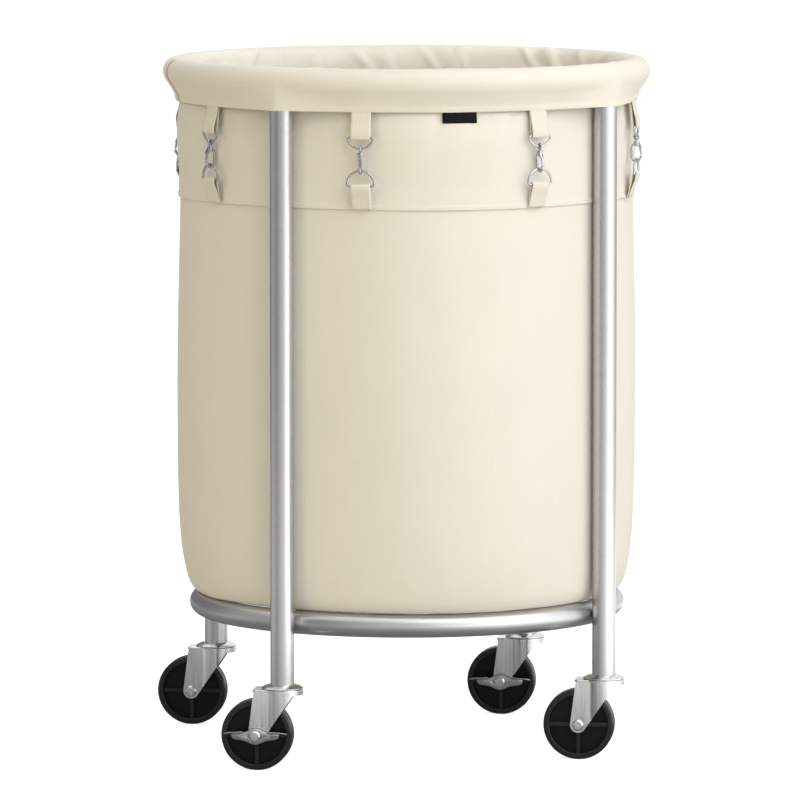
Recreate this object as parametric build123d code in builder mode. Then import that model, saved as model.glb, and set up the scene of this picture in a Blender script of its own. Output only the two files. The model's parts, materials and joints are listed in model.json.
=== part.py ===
from build123d import *
import os
from math import atan2, cos, degrees, exp, radians, sin, sqrt

# Round rolling laundry hamper: a steel tube frame on four swivel casters holds one fabric bag.
# Millimetres, +Z up, the floor at z = 0, the frame's axis on Z and the label at the front, -Y.

# Frame
frame_radius = 250.0          # axes of the poles and of the upper ring
rim_height = 749.9            # top of the cuff above the floor
tube_diameter = 25.4
tube_wall = 1.2
lower_ring_height = 155.9     # axis of the lower ring
weld_gap = 0.2                # stands for the weld between two tubes
pole_top_trim = 4.0           # the coped ears of a pole stop this far below the upper ring's axis
sleeve_length = 27.0
spigot_length = 11.0          # swaged end of an arc inside a sleeve
spigot_clearance = 0.1
swage_shoulder = 1.5
cross_bar_diameter = 16.0
cross_bar_trim = 4.0
pole_angles = {"rear_right": 45, "rear_left": 135, "front_left": 225, "front_right": 315}

# Casters
wheel_diameter = 76.2
wheel_width = 22.0
tread_edge = 3.0
rim_lip = 1.0                 # rounding of the rim's inner edges
rim_thickness = 6.5
hub_diameter = 18.0
hub_proud = 1.0               # hub outside the rim's faces
web_thickness = 6.0
rib_thickness = 4.2
rib_setback = 3.0             # ribs lie this far inside the rim's face
rib_count = 4
axle_diameter = 8.0
running_clearance = 0.05      # radial, between a pin and the piece that turns on it
rivet_head_diameter = 12.4
rivet_head_height = 3.2
rivet_dome = 2.6              # rounding of a rivet head
trail = 26.5                  # kingpin axis to axle
trail_angle = 160.6           # direction in which every caster trails, as pictured
tread_clearance = 8.6         # wheel to the fork's plate
fork_plate = 2.4
plate_edge = 1.2              # rounding of the pressed plate's upper edge
leg_thickness = 2.2
hub_clearance = 0.8
cowl_radius = 20.0
plate_radius = 22.0
leg_end_radius = 8.5
leg_front = -14.5             # the legs' top corners along the trail
leg_rear = 29.2
leg_top_band = 2.0
lip_drop = 3.6
tongue_overhang = 1.5
tongue_corner = 4.5
kingpin_diameter = 10.0
kingpin_head_diameter = 15.0
kingpin_head_height = 3.0
swivel_gap = 0.4
side_gap = 0.3                # between flat faces that slide past each other
cap_height = 4.4
cap_edge_height = 0.9
cap_shoulder = 1.6
cap_crown = 0.5               # bulge of the cap's cone
washer_thickness = 1.2
washer_diameter = 35.0
socket_length = 40.0
socket_clearance = 0.05
braked_casters = ("front_left", "rear_right")
brake_thickness = 1.6
brake_hub_radius = 8.4
brake_boss_radius = 6.6       # cam boss between the lever and the fork's cheek
wing_reach = 25.0
wing_top = 3.4                # above the axle
wing_bottom = 4.2             # below the axle
wing_root_radius = 8.0        # hollow where a wing leaves the hub
wing_tip_radius = 5.0
pedal_start = 13.5
pedal_reach = 34.0
pedal_depth = 9.0
pedal_tip_depth = 3.0
pedal_corner = 2.0
pedal_thickness = 1.3

# Bag
fabric = 1.6                  # body panels, cloth and lining together
band_fabric = 1.2
cuff_fabric = 1.5
cloth_gap = 0.3
band_gap = 0.2
cuff_drop = 46.0              # rim to the cuff's hem
band_drop = 150.0             # rim to the band's hem
band_tuck = 5.0               # the band runs up behind the cuff's hem
shoulder_rise = 1.7           # the wall has drawn in this far above the upper ring's underside
shoulder_ease = 1.2           # and reaches this far short of its inner side
band_top_inset = 4.4          # wall inside the pole circle at the band's edges, between the poles
band_hem_inset = 2.4
belly_rise = 240.0            # floor of the bag to its widest level
belly_swell = 1.5             # wall outside the pole circle there, between the poles
heel_draw = 18.0              # the wall draws in towards the floor by this much, fading with height
heel_fade = 38.0
heel_pole_draw = 6.5
heel_pole_fade = 13.0
heel_rises = (0, 9, 30, 55, 110)
pole_room = 1.8               # bag inside a pole's inner face
cuff_pole_room = 2.3          # cuff outside a pole's outer face
cuff_hem_outset = 0.8         # cuff's hem between the poles, outside the pole circle
cuff_shoulder_drop = 9.3      # below the upper ring's axis the cuff still follows the tube
cuff_shoulder_inset = 1.8
cuff_waist_drop = 21.0
cuff_waist_inset = 8.4
floor_gap = 0.4
floor_seam_inset = 45.0       # seam of the floor inside the pole circle
floor_fold_radius = 6.0
corner_share = 5.5            # offset of an outline's corner arcs, per millimetre of its swelling

# Label tab under the cuff's hem
tab_width = 37.0
tab_drop = 11.0
tab_tuck = 5.0
tab_thickness = 0.8

# Clips between the cuff and the band
clip_count = 8
clip_turn = -1.6              # the bag sits slightly turned on the frame
clip_standoff = 2.5           # swivel axis of a clip outside the pole circle
strap_width = 21.0
strap_thickness = 1.3
strap_tuck = 8.0
strap_end_rise = 1.7          # end of a lower strap above the band's hem
strap_hole_share = 0.55
strap_hole_end = 0.4
ring_wire = 2.5
ring_side_room = 4.0          # a strap's edge to the middle of the D-ring's side
ring_corner = 2.5
upper_ring_bar_drop = 72.9    # rim to the bar of an upper D-ring
upper_ring_depth = 11.5
lower_ring_depth = 16.5
loose_fit = 0.15              # a wire lies this far from the piece that hangs on it
eye_wire = 2.2
eye_room = 0.8                # a D-ring's wire in an eye
eye_stem_diameter = 2.6
eye_head_diameter = 3.8
eye_head_height = 0.8
barrel_diameter = 6.6
barrel_height = 5.0
hook_wire = 3.0
hook_half_width = 5.2
hook_root_reach = 3.2         # the bow leaves the barrel this far from the swivel axis
hook_length = 23.4            # top of the barrel to the bottom of the hook
hook_shoulder_drop = 8.6
hook_bend = 3.0
hook_nose = 0.8
gate_pin_diameter = 1.2
gate_pin_reach = 3.9
gate_pin_drop = 6.7
gate_eye_diameter = 2.4
gate_width = 2.0
gate_thickness = 1.4
gate_end_gap = 0.4
gate_side_gap = 0.15
ear_thickness = 0.9
ear_radius = 1.5
ear_root_width = 1.2
ear_root_height = 2.8

# Values that follow from the driving dimensions
tube_radius = tube_diameter / 2
bore_radius = tube_radius - tube_wall
upper_ring_height = rim_height - cuff_fabric - cloth_gap - tube_radius
lower_ring_radius = frame_radius - tube_diameter - weld_gap
axle_height = wheel_diameter / 2
hub_width = wheel_width + 2 * hub_proud
plate_bottom = wheel_diameter + tread_clearance
plate_top = plate_bottom + fork_plate
cap_bottom = plate_top + swivel_gap
pole_bottom = cap_bottom + cap_height
cheek_inner = hub_width / 2 + hub_clearance
cheek_outer = cheek_inner + leg_thickness
cap_radius = plate_radius + side_gap
brake_offset = cowl_radius + 2 * side_gap
cross_height = lower_ring_height + tube_radius - cross_bar_diameter / 2
bag_floor = lower_ring_height + tube_radius + floor_gap
cuff_hem = rim_height - cuff_drop
band_hem = rim_height - band_drop
band_top = cuff_hem + band_tuck
wall_flat = frame_radius - tube_radius - pole_room
floor_seam_radius = frame_radius - floor_seam_inset
clip_radius = frame_radius + clip_standoff
clip_angles = [270 + clip_turn + (index + 0.5) * 360 / clip_count for index in range(clip_count)]
upper_bar_height = rim_height - upper_ring_bar_drop
upper_wire_height = upper_bar_height - upper_ring_depth
ring_half_width = strap_width / 2 + ring_side_room
eye_hole = ring_wire + eye_room
eye_height = upper_wire_height - eye_room / 2 + loose_fit
eye_radius = (eye_hole + eye_wire) / 2
barrel_top = eye_height - eye_radius - eye_wire / 2 - cloth_gap
hook_bottom = barrel_top - hook_length
hook_bend_height = hook_bottom + hook_wire / 2 + hook_half_width
lower_wire_height = hook_bottom + hook_wire + ring_wire / 2 + loose_fit
lower_bar_height = lower_wire_height - lower_ring_depth

os.makedirs("parts", exist_ok=True)


def save(piece, name):
    """Label a finished piece and write it as one file."""
    piece.label = name
    export_step(piece, f"parts/{name}.step")


def radial_plane(angle, radius=0.0, height=0.0):
    """Upright plane through the frame's axis: local x points outwards at angle, local y up."""
    out = Vector(cos(radians(angle)), sin(radians(angle)), 0)
    return Plane(out * radius + Vector(0, 0, height), x_dir=out, z_dir=Vector(out.Y, -out.X, 0))


def tangent_plane(angle, radius, height):
    """Upright plane square to the radius at angle: local x runs round the frame, local y up."""
    out = Vector(cos(radians(angle)), sin(radians(angle)), 0)
    return Plane(out * radius + Vector(0, 0, height), x_dir=Vector(-out.Y, out.X, 0), z_dir=out)


def pole_plane(corner, height=0.0):
    """Level plane on a pole's axis, with local x along the caster's trail."""
    angle = radians(pole_angles[corner])
    trail_direction = Vector(cos(radians(trail_angle)), sin(radians(trail_angle)), 0)
    origin = Vector(frame_radius * cos(angle), frame_radius * sin(angle), height)
    return Plane(origin, x_dir=trail_direction, z_dir=Vector(0, 0, 1))


def side_plane(corner):
    """Upright plane through a pole's axis along the trail: local x trails, local y up."""
    level = pole_plane(corner)
    return Plane(level.origin, x_dir=level.x_dir, z_dir=-level.y_dir)


def axle_plane(corner):
    """Upright plane in a wheel's middle, with the axle along its normal towards the front."""
    level = pole_plane(corner)
    origin = level.from_local_coords(Vector(trail, 0, axle_height))
    return Plane(origin, x_dir=-level.x_dir, z_dir=level.y_dir)


# Outline of the bag: four corner arcs and four flatter arcs, tangent to each other.
# With swelling s = reach - flat, corner centres lie corner_share * s out and flat centres flat_share * s
# past the axis, which makes every junction tangent.
flat_share = (2 * corner_share - 1) / ((2 - sqrt(2)) * corner_share - 2)
junction = degrees(atan2(flat_share * sin(radians(45)), corner_share + flat_share * cos(radians(45))))


def outline(height, reach, flat, turn=0.0):
    """Level face of a swollen circle that reaches out at turn, turn + 90 and so on, and is flat between."""
    corner_offset = corner_share * (reach - flat)
    flat_offset = flat_share * (reach - flat)
    with BuildSketch(Plane.XY.offset(height)) as face:
        with BuildLine():
            for quarter in range(4):
                out = radians(turn + 90 * quarter)
                between = out + radians(45)
                corner_centre = (corner_offset * cos(out), corner_offset * sin(out))
                flat_centre = (-flat_offset * cos(between), -flat_offset * sin(between))
                CenterArc(corner_centre, reach - corner_offset, degrees(out) - junction, 2 * junction)
                CenterArc(flat_centre, flat + flat_offset, degrees(out) + junction, 90 - 2 * junction)
        make_face()
    return face.sketch


def outline_radius(reach, flat, angle, turn=0.0):
    """Distance from the axis to that outline in the direction angle."""
    off_corner = radians((angle - turn + 45) % 90 - 45)
    corner_offset = corner_share * (reach - flat)
    corner_arc = reach - corner_offset
    joint_x = corner_offset + corner_arc * cos(radians(junction))
    joint_y = corner_arc * sin(radians(junction))
    if abs(off_corner) <= atan2(joint_y, joint_x):
        return corner_offset * cos(off_corner) + sqrt(corner_arc**2 - (corner_offset * sin(off_corner)) ** 2)
    flat_offset = flat_share * (reach - flat)
    off_flat = radians(45) - abs(off_corner)
    return sqrt((flat + flat_offset) ** 2 - (flat_offset * sin(off_flat)) ** 2) - flat_offset * cos(off_flat)


# Frame: poles, rings and the cross that carries the bag's floor

def pole(corner):
    """Upright tube, coped at its top to the upper ring."""
    with BuildPart() as tube:
        with BuildSketch(pole_plane(corner, pole_bottom)):
            Circle(tube_radius)
            Circle(bore_radius, mode=Mode.SUBTRACT)
        extrude(amount=upper_ring_height - pole_top_trim - pole_bottom)
        with BuildSketch(radial_plane(pole_angles[corner] - 45)):
            with Locations((frame_radius, upper_ring_height)):
                Circle(tube_radius + weld_gap)
        revolve(axis=Axis.Z, revolution_arc=90, mode=Mode.SUBTRACT)
    return tube.part


def tube_section(plane, outer, inner):
    """Section of a tube with its axis on the plane's origin."""
    with BuildSketch(plane) as section:
        Circle(outer)
        Circle(inner, mode=Mode.SUBTRACT)
    return section.sketch


def ring_arc(corner, radius, height):
    """Quarter of a ring from one pole to the next, with swaged ends that plug into the sleeves."""
    spigot_outer = bore_radius - spigot_clearance
    spigot_inner = spigot_outer - tube_wall
    seam = degrees(sleeve_length / 2 / radius)
    shoulder = degrees(swage_shoulder / radius)
    spigot = degrees(spigot_length / radius)
    start = pole_angles[corner] + seam
    span = 90 - 2 * seam
    with BuildPart() as arc:
        tube = tube_section(radial_plane(start, radius, height), tube_radius, bore_radius)
        revolve(tube, axis=Axis.Z, revolution_arc=span)
        for end in (start, start + span - shoulder):
            collar = tube_section(radial_plane(end, radius, height), tube_radius, spigot_inner)
            revolve(collar, axis=Axis.Z, revolution_arc=shoulder)
        for end in (start - spigot, start + span - shoulder):
            plug = tube_section(radial_plane(end, radius, height), spigot_outer, spigot_inner)
            revolve(plug, axis=Axis.Z, revolution_arc=spigot + shoulder)
    return arc.part


def ring_sleeves(radius, height):
    """Four short bent tubes, one at each pole, that join the arcs of a ring."""
    half = degrees(sleeve_length / 2 / radius)
    with BuildPart() as sleeves:
        for angle in pole_angles.values():
            tube = tube_section(radial_plane(angle - half, radius, height), tube_radius, bore_radius)
            revolve(tube, axis=Axis.Z, revolution_arc=2 * half)
    return sleeves.part


def cross_section(corner):
    """Section of a cross bar at the frame's axis, facing a pole."""
    plane = tangent_plane(pole_angles[corner], 0, cross_height)
    return tube_section(plane, cross_bar_diameter / 2, cross_bar_diameter / 2 - tube_wall)


def lower_ring_cope():
    """Section of the lower ring and its weld, to cope the cross bars with."""
    with BuildSketch(radial_plane(0, lower_ring_radius, lower_ring_height)) as section:
        Circle(tube_radius + weld_gap)
    return section.sketch


for corner_name in pole_angles:
    save(pole(corner_name), f"pole_{corner_name}")
for side_name, corner_name in zip(("rear", "left", "front", "right"), pole_angles):
    save(ring_arc(corner_name, frame_radius, upper_ring_height), f"upper_ring_{side_name}")
    save(ring_arc(corner_name, lower_ring_radius, lower_ring_height), f"lower_ring_{side_name}")
save(ring_sleeves(frame_radius, upper_ring_height), "upper_ring_sleeves")
save(ring_sleeves(lower_ring_radius, lower_ring_height), "lower_ring_sleeves")

cross_reach = lower_ring_radius - cross_bar_trim
with BuildPart() as base_cross_bar:
    extrude(cross_section("front_left"), amount=cross_reach, both=True)
    revolve(lower_ring_cope(), axis=Axis.Z, mode=Mode.SUBTRACT)
save(base_cross_bar.part, "base_cross_bar")

with BuildPart() as base_half_bars:
    for corner_name in ("front_right", "rear_left"):
        extrude(cross_section(corner_name), amount=cross_reach)
    with BuildSketch(tangent_plane(pole_angles["front_left"], 0, cross_height)):
        Circle(cross_bar_diameter / 2 + weld_gap)
    extrude(amount=cross_reach, both=True, mode=Mode.SUBTRACT)
    revolve(lower_ring_cope(), axis=Axis.Z, mode=Mode.SUBTRACT)
save(base_half_bars.part, "base_half_bars")


# Casters

with BuildPart() as stem_sockets:
    for corner_name in pole_angles:
        with BuildSketch(pole_plane(corner_name, pole_bottom)):
            Circle(bore_radius - socket_clearance)
            Circle(kingpin_diameter / 2 + socket_clearance, mode=Mode.SUBTRACT)
        extrude(amount=socket_length)
save(stem_sockets.part, "stem_sockets")

with BuildPart() as caster_stems:
    for corner_name in pole_angles:
        head_top = plate_bottom - side_gap
        with BuildSketch(pole_plane(corner_name, head_top - kingpin_head_height)):
            Circle(kingpin_head_diameter / 2)
        extrude(amount=kingpin_head_height)
        with BuildSketch(pole_plane(corner_name, head_top)):
            Circle(kingpin_diameter / 2)
        extrude(amount=pole_bottom + socket_length - head_top)
save(caster_stems.part, "caster_stems")

with BuildPart() as caster_caps:
    for corner_name in pole_angles:
        shoulder_radius = tube_radius + cap_shoulder
        hole_radius = kingpin_diameter / 2 + socket_clearance
        dome_start = (cap_radius, cap_bottom + cap_edge_height)
        with BuildSketch(side_plane(corner_name)):
            with BuildLine():
                Line((hole_radius, cap_bottom), (cap_radius, cap_bottom))
                Line((cap_radius, cap_bottom), dome_start)
                SagittaArc(dome_start, (shoulder_radius, pole_bottom), -cap_crown)
                Line((shoulder_radius, pole_bottom), (hole_radius, pole_bottom))
                Line((hole_radius, pole_bottom), (hole_radius, cap_bottom))
            make_face()
        revolve(axis=Axis(pole_plane(corner_name).origin, (0, 0, 1)))
        with BuildSketch(pole_plane(corner_name, cap_bottom)):
            Circle(washer_diameter / 2 + side_gap)
        extrude(amount=washer_thickness, mode=Mode.SUBTRACT)
save(caster_caps.part, "caster_caps")

with BuildPart() as swivel_washers:
    for corner_name in pole_angles:
        with BuildSketch(pole_plane(corner_name, cap_bottom)):
            Circle(washer_diameter / 2)
            Circle(kingpin_diameter / 2 + socket_clearance, mode=Mode.SUBTRACT)
        extrude(amount=washer_thickness)
save(swivel_washers.part, "swivel_washers")


def fork(corner):
    """Pressed fork: a cowl round the kingpin runs into two flat cheeks, under a lipped plate."""
    leg_bottom = axle_height - leg_end_radius
    cheek_end = trail + leg_end_radius
    tongue_end = leg_rear + tongue_overhang
    plate_level = pole_plane(corner, plate_bottom)
    with BuildPart() as fork_part:
        with BuildSketch(pole_plane(corner, leg_bottom)):
            Circle(cowl_radius)
            with Locations((cheek_end / 2, 0)):
                Rectangle(cheek_end, 2 * cheek_outer)
            Circle(cowl_radius - leg_thickness, mode=Mode.SUBTRACT)
            with Locations((cheek_end / 2, 0)):
                Rectangle(cheek_end, 2 * cheek_inner, mode=Mode.SUBTRACT)
        extrude(amount=plate_bottom - leg_bottom)
        with BuildSketch(side_plane(corner)):
            with Locations((trail, axle_height)):
                Circle(leg_end_radius)
            with Locations(((leg_front + leg_rear) / 2, plate_bottom - leg_top_band / 2)):
                Rectangle(leg_rear - leg_front, leg_top_band)
            make_hull()
        extrude(amount=cowl_radius, both=True, mode=Mode.INTERSECT)
        with BuildSketch(plate_level) as plate_sketch:
            Circle(plate_radius)
            with Locations((tongue_end / 2, 0)):
                Rectangle(tongue_end, 2 * (cheek_outer + tongue_overhang))
            fillet(plate_sketch.vertices().sort_by(Axis.X)[-2:], tongue_corner)
            Circle(kingpin_diameter / 2 + running_clearance, mode=Mode.SUBTRACT)
        extrude(amount=fork_plate)
        fillet(fork_part.faces().sort_by(Axis.Z)[-1].outer_wire().edges(), plate_edge)
        with BuildSketch(plate_level):
            Circle(plate_radius)
            Circle(plate_radius - leg_thickness, mode=Mode.SUBTRACT)
            with Locations((plate_radius, 0)):
                Rectangle(2 * plate_radius, 2 * plate_radius, mode=Mode.SUBTRACT)
        extrude(amount=-lip_drop)
        with BuildSketch(axle_plane(corner)):
            Circle(axle_diameter / 2 + socket_clearance)
        extrude(amount=cowl_radius, both=True, mode=Mode.SUBTRACT)
    return fork_part.part


def wheel(corner):
    """Moulded wheel: hub, thin web, cross ribs and a deep rim with rounded tread edges."""
    plane = axle_plane(corner)
    profile_plane = Plane(plane.origin, x_dir=plane.z_dir, z_dir=-plane.x_dir)
    wheel_radius = wheel_diameter / 2
    rim_radius = wheel_radius - rim_thickness
    hub_radius = hub_diameter / 2
    with BuildPart() as wheel_part:
        with BuildSketch(profile_plane) as section:
            with Locations((0, (wheel_radius + rim_radius) / 2)):
                Rectangle(wheel_width, rim_thickness)
            fillet(section.vertices().sort_by(Axis.Y)[-2:], tread_edge)
            fillet(section.vertices().sort_by(Axis.Y)[:2], rim_lip)
            with Locations((0, (hub_radius + rim_radius) / 2)):
                Rectangle(web_thickness, rim_radius - hub_radius)
            bore = axle_diameter / 2 + running_clearance
            with Locations((0, (hub_radius + bore) / 2)):
                Rectangle(hub_width, hub_radius - bore)
        revolve(axis=Axis(plane.origin, plane.z_dir))
        with BuildSketch(plane):
            with PolarLocations((hub_radius + rim_radius) / 2, rib_count):
                Rectangle(rim_radius - hub_radius + rib_thickness, rib_thickness)
        extrude(amount=wheel_width / 2 - rib_setback, both=True)
    return wheel_part.part


def head_start(corner):
    """Distance from a wheel's middle to the underside of its front rivet head."""
    if corner in braked_casters:
        return brake_offset + brake_thickness + side_gap
    return cheek_outer + side_gap


def axle_rivet(corner):
    """Axle with a domed head at the front and a formed head behind the far cheek."""
    plane = axle_plane(corner)
    back = -cheek_outer - side_gap
    head_radius = rivet_head_diameter / 2
    with BuildPart() as rivet:
        with BuildSketch(plane.offset(back)):
            Circle(axle_diameter / 2)
        extrude(amount=head_start(corner) - back)
        for face, way in ((head_start(corner), 1), (back, -1)):
            with BuildSketch(plane.offset(face)):
                Circle(head_radius)
            extrude(amount=way * rivet_head_height)
        along_axle = rivet.edges().sort_by(Axis(plane.origin, plane.z_dir))
        fillet([along_axle[0], along_axle[-1]], rivet_dome)
    return rivet.part


def brake_lever(corner):
    """Rocker on the axle: a winged plate on a cam boss, with a pedal bent outwards at each end."""
    plane = axle_plane(corner).offset(brake_offset)
    with BuildPart() as lever:
        with BuildSketch(plane):
            Circle(brake_boss_radius)
            Circle(axle_diameter / 2 + running_clearance, mode=Mode.SUBTRACT)
        extrude(amount=cheek_outer + side_gap - brake_offset)
        with BuildSketch(plane) as plate:
            Circle(brake_hub_radius)
            with Locations((0, (wing_top - wing_bottom) / 2)):
                Rectangle(2 * wing_reach, wing_top + wing_bottom)
            roots = [corner for corner in plate.vertices() if abs(corner.X) < brake_hub_radius]
            fillet(roots, wing_root_radius)
            fillet(plate.vertices().group_by(Axis.Y)[0].filter_by(lambda tip: abs(tip.X) > wing_reach / 2), wing_tip_radius)
            Circle(axle_diameter / 2 + running_clearance, mode=Mode.SUBTRACT)
        extrude(amount=brake_thickness)
        pedal_plane = Plane(
            plane.from_local_coords(Vector(0, wing_top - pedal_thickness, 0)),
            x_dir=plane.x_dir,
            z_dir=plane.y_dir,
        )
        with BuildSketch(pedal_plane) as pedals:
            for way in (1, -1):
                with BuildLine():
                    Polyline(
                        (way * pedal_start, 0),
                        (way * pedal_reach, 0),
                        (way * pedal_reach, -pedal_tip_depth),
                        (way * pedal_start, -pedal_depth),
                        close=True,
                    )
                make_face()
            fillet([tip for tip in pedals.vertices() if abs(tip.X) > pedal_reach - pedal_corner], pedal_corner / 2)
        extrude(amount=pedal_thickness)
    return lever.part


for corner_name in pole_angles:
    save(fork(corner_name), f"fork_{corner_name}")
    save(wheel(corner_name), f"wheel_{corner_name}")
    save(axle_rivet(corner_name), f"axle_rivet_{corner_name}")
for corner_name in braked_casters:
    save(brake_lever(corner_name), f"brake_lever_{corner_name}")


# Bag: side panel, floor, band and cuff

# Levels of the side panel's outer face: height, reach between the poles, reach at the poles

def heel_level(rise):
    """Level near the floor: the wall draws in exponentially as rise falls to zero."""
    reach = frame_radius + belly_swell - heel_draw * exp(-rise / heel_fade)
    return bag_floor + rise, reach, wall_flat - heel_pole_draw * exp(-rise / heel_pole_fade)


ring_inside = frame_radius - tube_radius - cloth_gap
shoulder_height = upper_ring_height - tube_radius + shoulder_rise
shoulder_reach = frame_radius - tube_radius + shoulder_ease
wall_levels = [heel_level(rise) for rise in (*heel_rises, belly_rise)]
wall_levels += [
    (band_hem, frame_radius - band_hem_inset, wall_flat),
    (band_top, frame_radius - band_top_inset, wall_flat),
    (shoulder_height, shoulder_reach, wall_flat),
    (upper_ring_height, ring_inside, ring_inside),
]


def wall_outlines(inset):
    """Outlines of the side panel, drawn in by inset."""
    return [outline(height, reach - inset, flat - inset) for height, reach, flat in wall_levels]


with BuildPart() as bag_side:
    loft(wall_outlines(0), ruled=True)
    fillet(bag_side.edges().group_by(Axis.Z)[0], floor_fold_radius)
    inner = wall_outlines(fabric)
    inner[0] = outline(bag_floor + fabric, wall_levels[0][1] - fabric, wall_levels[0][2] - fabric)
    loft(inner, ruled=True, mode=Mode.SUBTRACT)
    with BuildSketch(Plane.XY.offset(bag_floor)):
        Circle(floor_seam_radius)
    extrude(amount=fabric, mode=Mode.SUBTRACT)
save(bag_side.part, "bag_side")

with BuildPart() as bag_floor_panel:
    with BuildSketch(Plane.XY.offset(bag_floor)):
        Circle(floor_seam_radius)
    extrude(amount=fabric)
save(bag_floor_panel.part, "bag_floor")

band_outset = band_gap + band_fabric
band_levels = [level for level in wall_levels if band_hem <= level[0] <= band_top]


def band_outlines(outset):
    """Outlines of the band, outset from the side panel."""
    return [outline(height, reach + outset, flat + outset) for height, reach, flat in band_levels]


with BuildPart() as bag_band:
    loft(band_outlines(band_outset), ruled=True)
    loft(band_outlines(band_gap), ruled=True, mode=Mode.SUBTRACT)
save(bag_band.part, "bag_band")

cuff_radius = tube_radius + cloth_gap + cuff_fabric
cuff_out = frame_radius + cuff_radius
cuff_pole = frame_radius + tube_radius + cuff_pole_room
cuff_levels = [
    (cuff_hem, cuff_pole, frame_radius + cuff_hem_outset),
    (upper_ring_height - cuff_waist_drop, cuff_pole, cuff_out - cuff_waist_inset),
    (upper_ring_height - cuff_shoulder_drop, cuff_out, cuff_out - cuff_shoulder_inset),
    (upper_ring_height, cuff_out, cuff_out),
]


def cuff_outlines(inset):
    """Outlines of the hanging part of the cuff, drawn in by inset; it reaches out over the poles."""
    return [outline(height, pole_reach - inset, flat - inset, 45) for height, pole_reach, flat in cuff_levels]


with BuildPart() as bag_cuff:
    loft(cuff_outlines(0), ruled=True)
    loft(cuff_outlines(cuff_fabric), ruled=True, mode=Mode.SUBTRACT)
    with BuildSketch(Plane.XZ):
        with Locations((frame_radius, upper_ring_height)):
            Circle(cuff_radius)
            Circle(cuff_radius - cuff_fabric, mode=Mode.SUBTRACT)
        with Locations((frame_radius, upper_ring_height - cuff_radius)):
            Rectangle(2 * cuff_radius, 2 * cuff_radius, mode=Mode.SUBTRACT)
    revolve(axis=Axis.Z)
save(bag_cuff.part, "bag_cuff")

tab_outer = frame_radius + cuff_hem_outset - cuff_fabric - cloth_gap
tab_half_angle = degrees(tab_width / 2 / tab_outer)
with BuildPart() as label_tab:
    with BuildSketch(radial_plane(270 - tab_half_angle)):
        with Locations((tab_outer - tab_thickness / 2, cuff_hem + (tab_tuck - tab_drop) / 2)):
            Rectangle(tab_thickness, tab_drop + tab_tuck)
    revolve(axis=Axis.Z, revolution_arc=2 * tab_half_angle)
save(label_tab.part, "label_tab")


# Clips: straps, D-rings, swivel eyes, snap hooks and their sprung gates

strap_bend = ring_wire / 2 + loose_fit


def strap_profile(angle, bar_height, end_radius, end_height, thickness, end_thickness, share):
    """Side view of a strap loop: round the D-ring's bar at one end and flat at the other."""
    with BuildSketch(radial_plane(angle)) as profile:
        with Locations((clip_radius, bar_height)):
            Circle(strap_bend + thickness)
        end = (
            clip_radius + (end_radius - clip_radius) * share,
            bar_height + (end_height - bar_height) * share,
        )
        with Locations(end):
            Circle(end_thickness)
        make_hull()
    return profile.sketch


def strap_loops(bar_height, end_height, end_radii):
    """Eight doubled straps that hang on D-ring bars."""
    with BuildPart() as straps:
        for angle, end_radius in zip(clip_angles, end_radii):
            end = (angle, bar_height, end_radius, end_height)
            loop = strap_profile(*end, strap_thickness, strap_thickness, 1)
            extrude(loop, amount=strap_width / 2, both=True)
            hole = strap_profile(*end, 0, strap_hole_end, strap_hole_share)
            extrude(hole, amount=strap_width / 2, both=True, mode=Mode.SUBTRACT)
    return straps.part


def d_rings(bar_height, depth):
    """Eight wire rings with a straight bar at bar_height and a bow depth below it, or above if negative."""
    with BuildPart() as rings:
        for angle in clip_angles:
            with BuildLine(tangent_plane(angle, clip_radius, bar_height)) as bow:
                Line((0, 0), (ring_half_width, 0))
                ThreePointArc((ring_half_width, 0), (0, -depth), (-ring_half_width, 0))
                Line((-ring_half_width, 0), (0, 0))
                fillet(bow.vertices().filter_by(lambda corner: abs(corner.X) > ring_corner), ring_corner)
            with BuildSketch(radial_plane(angle, clip_radius, bar_height)):
                Circle(ring_wire / 2)
            sweep(path=bow.wire())
    return rings.part


def clip_plane(angle, height):
    """Level plane on a clip's swivel axis."""
    return Plane((clip_radius * cos(radians(angle)), clip_radius * sin(radians(angle)), height))


barrel_bottom = barrel_top - barrel_height
eye_head_top = barrel_bottom - cloth_gap


def swivel_eyes():
    """Eight eyes with a stem that turns in the hook's barrel, headed below it."""
    with BuildPart() as eyes:
        for angle in clip_angles:
            with Locations(radial_plane(angle, clip_radius, eye_height)):
                Torus(eye_radius, eye_wire / 2)
            with BuildSketch(clip_plane(angle, eye_head_top)):
                Circle(eye_stem_diameter / 2)
            extrude(amount=eye_height - eye_radius - eye_head_top)
            with BuildSketch(clip_plane(angle, eye_head_top - eye_head_height)):
                Circle(eye_head_diameter / 2)
            extrude(amount=eye_head_height)
    return eyes.part


gate_pin_height = barrel_top - gate_pin_drop
nose_height = hook_bend_height + hook_nose


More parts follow.
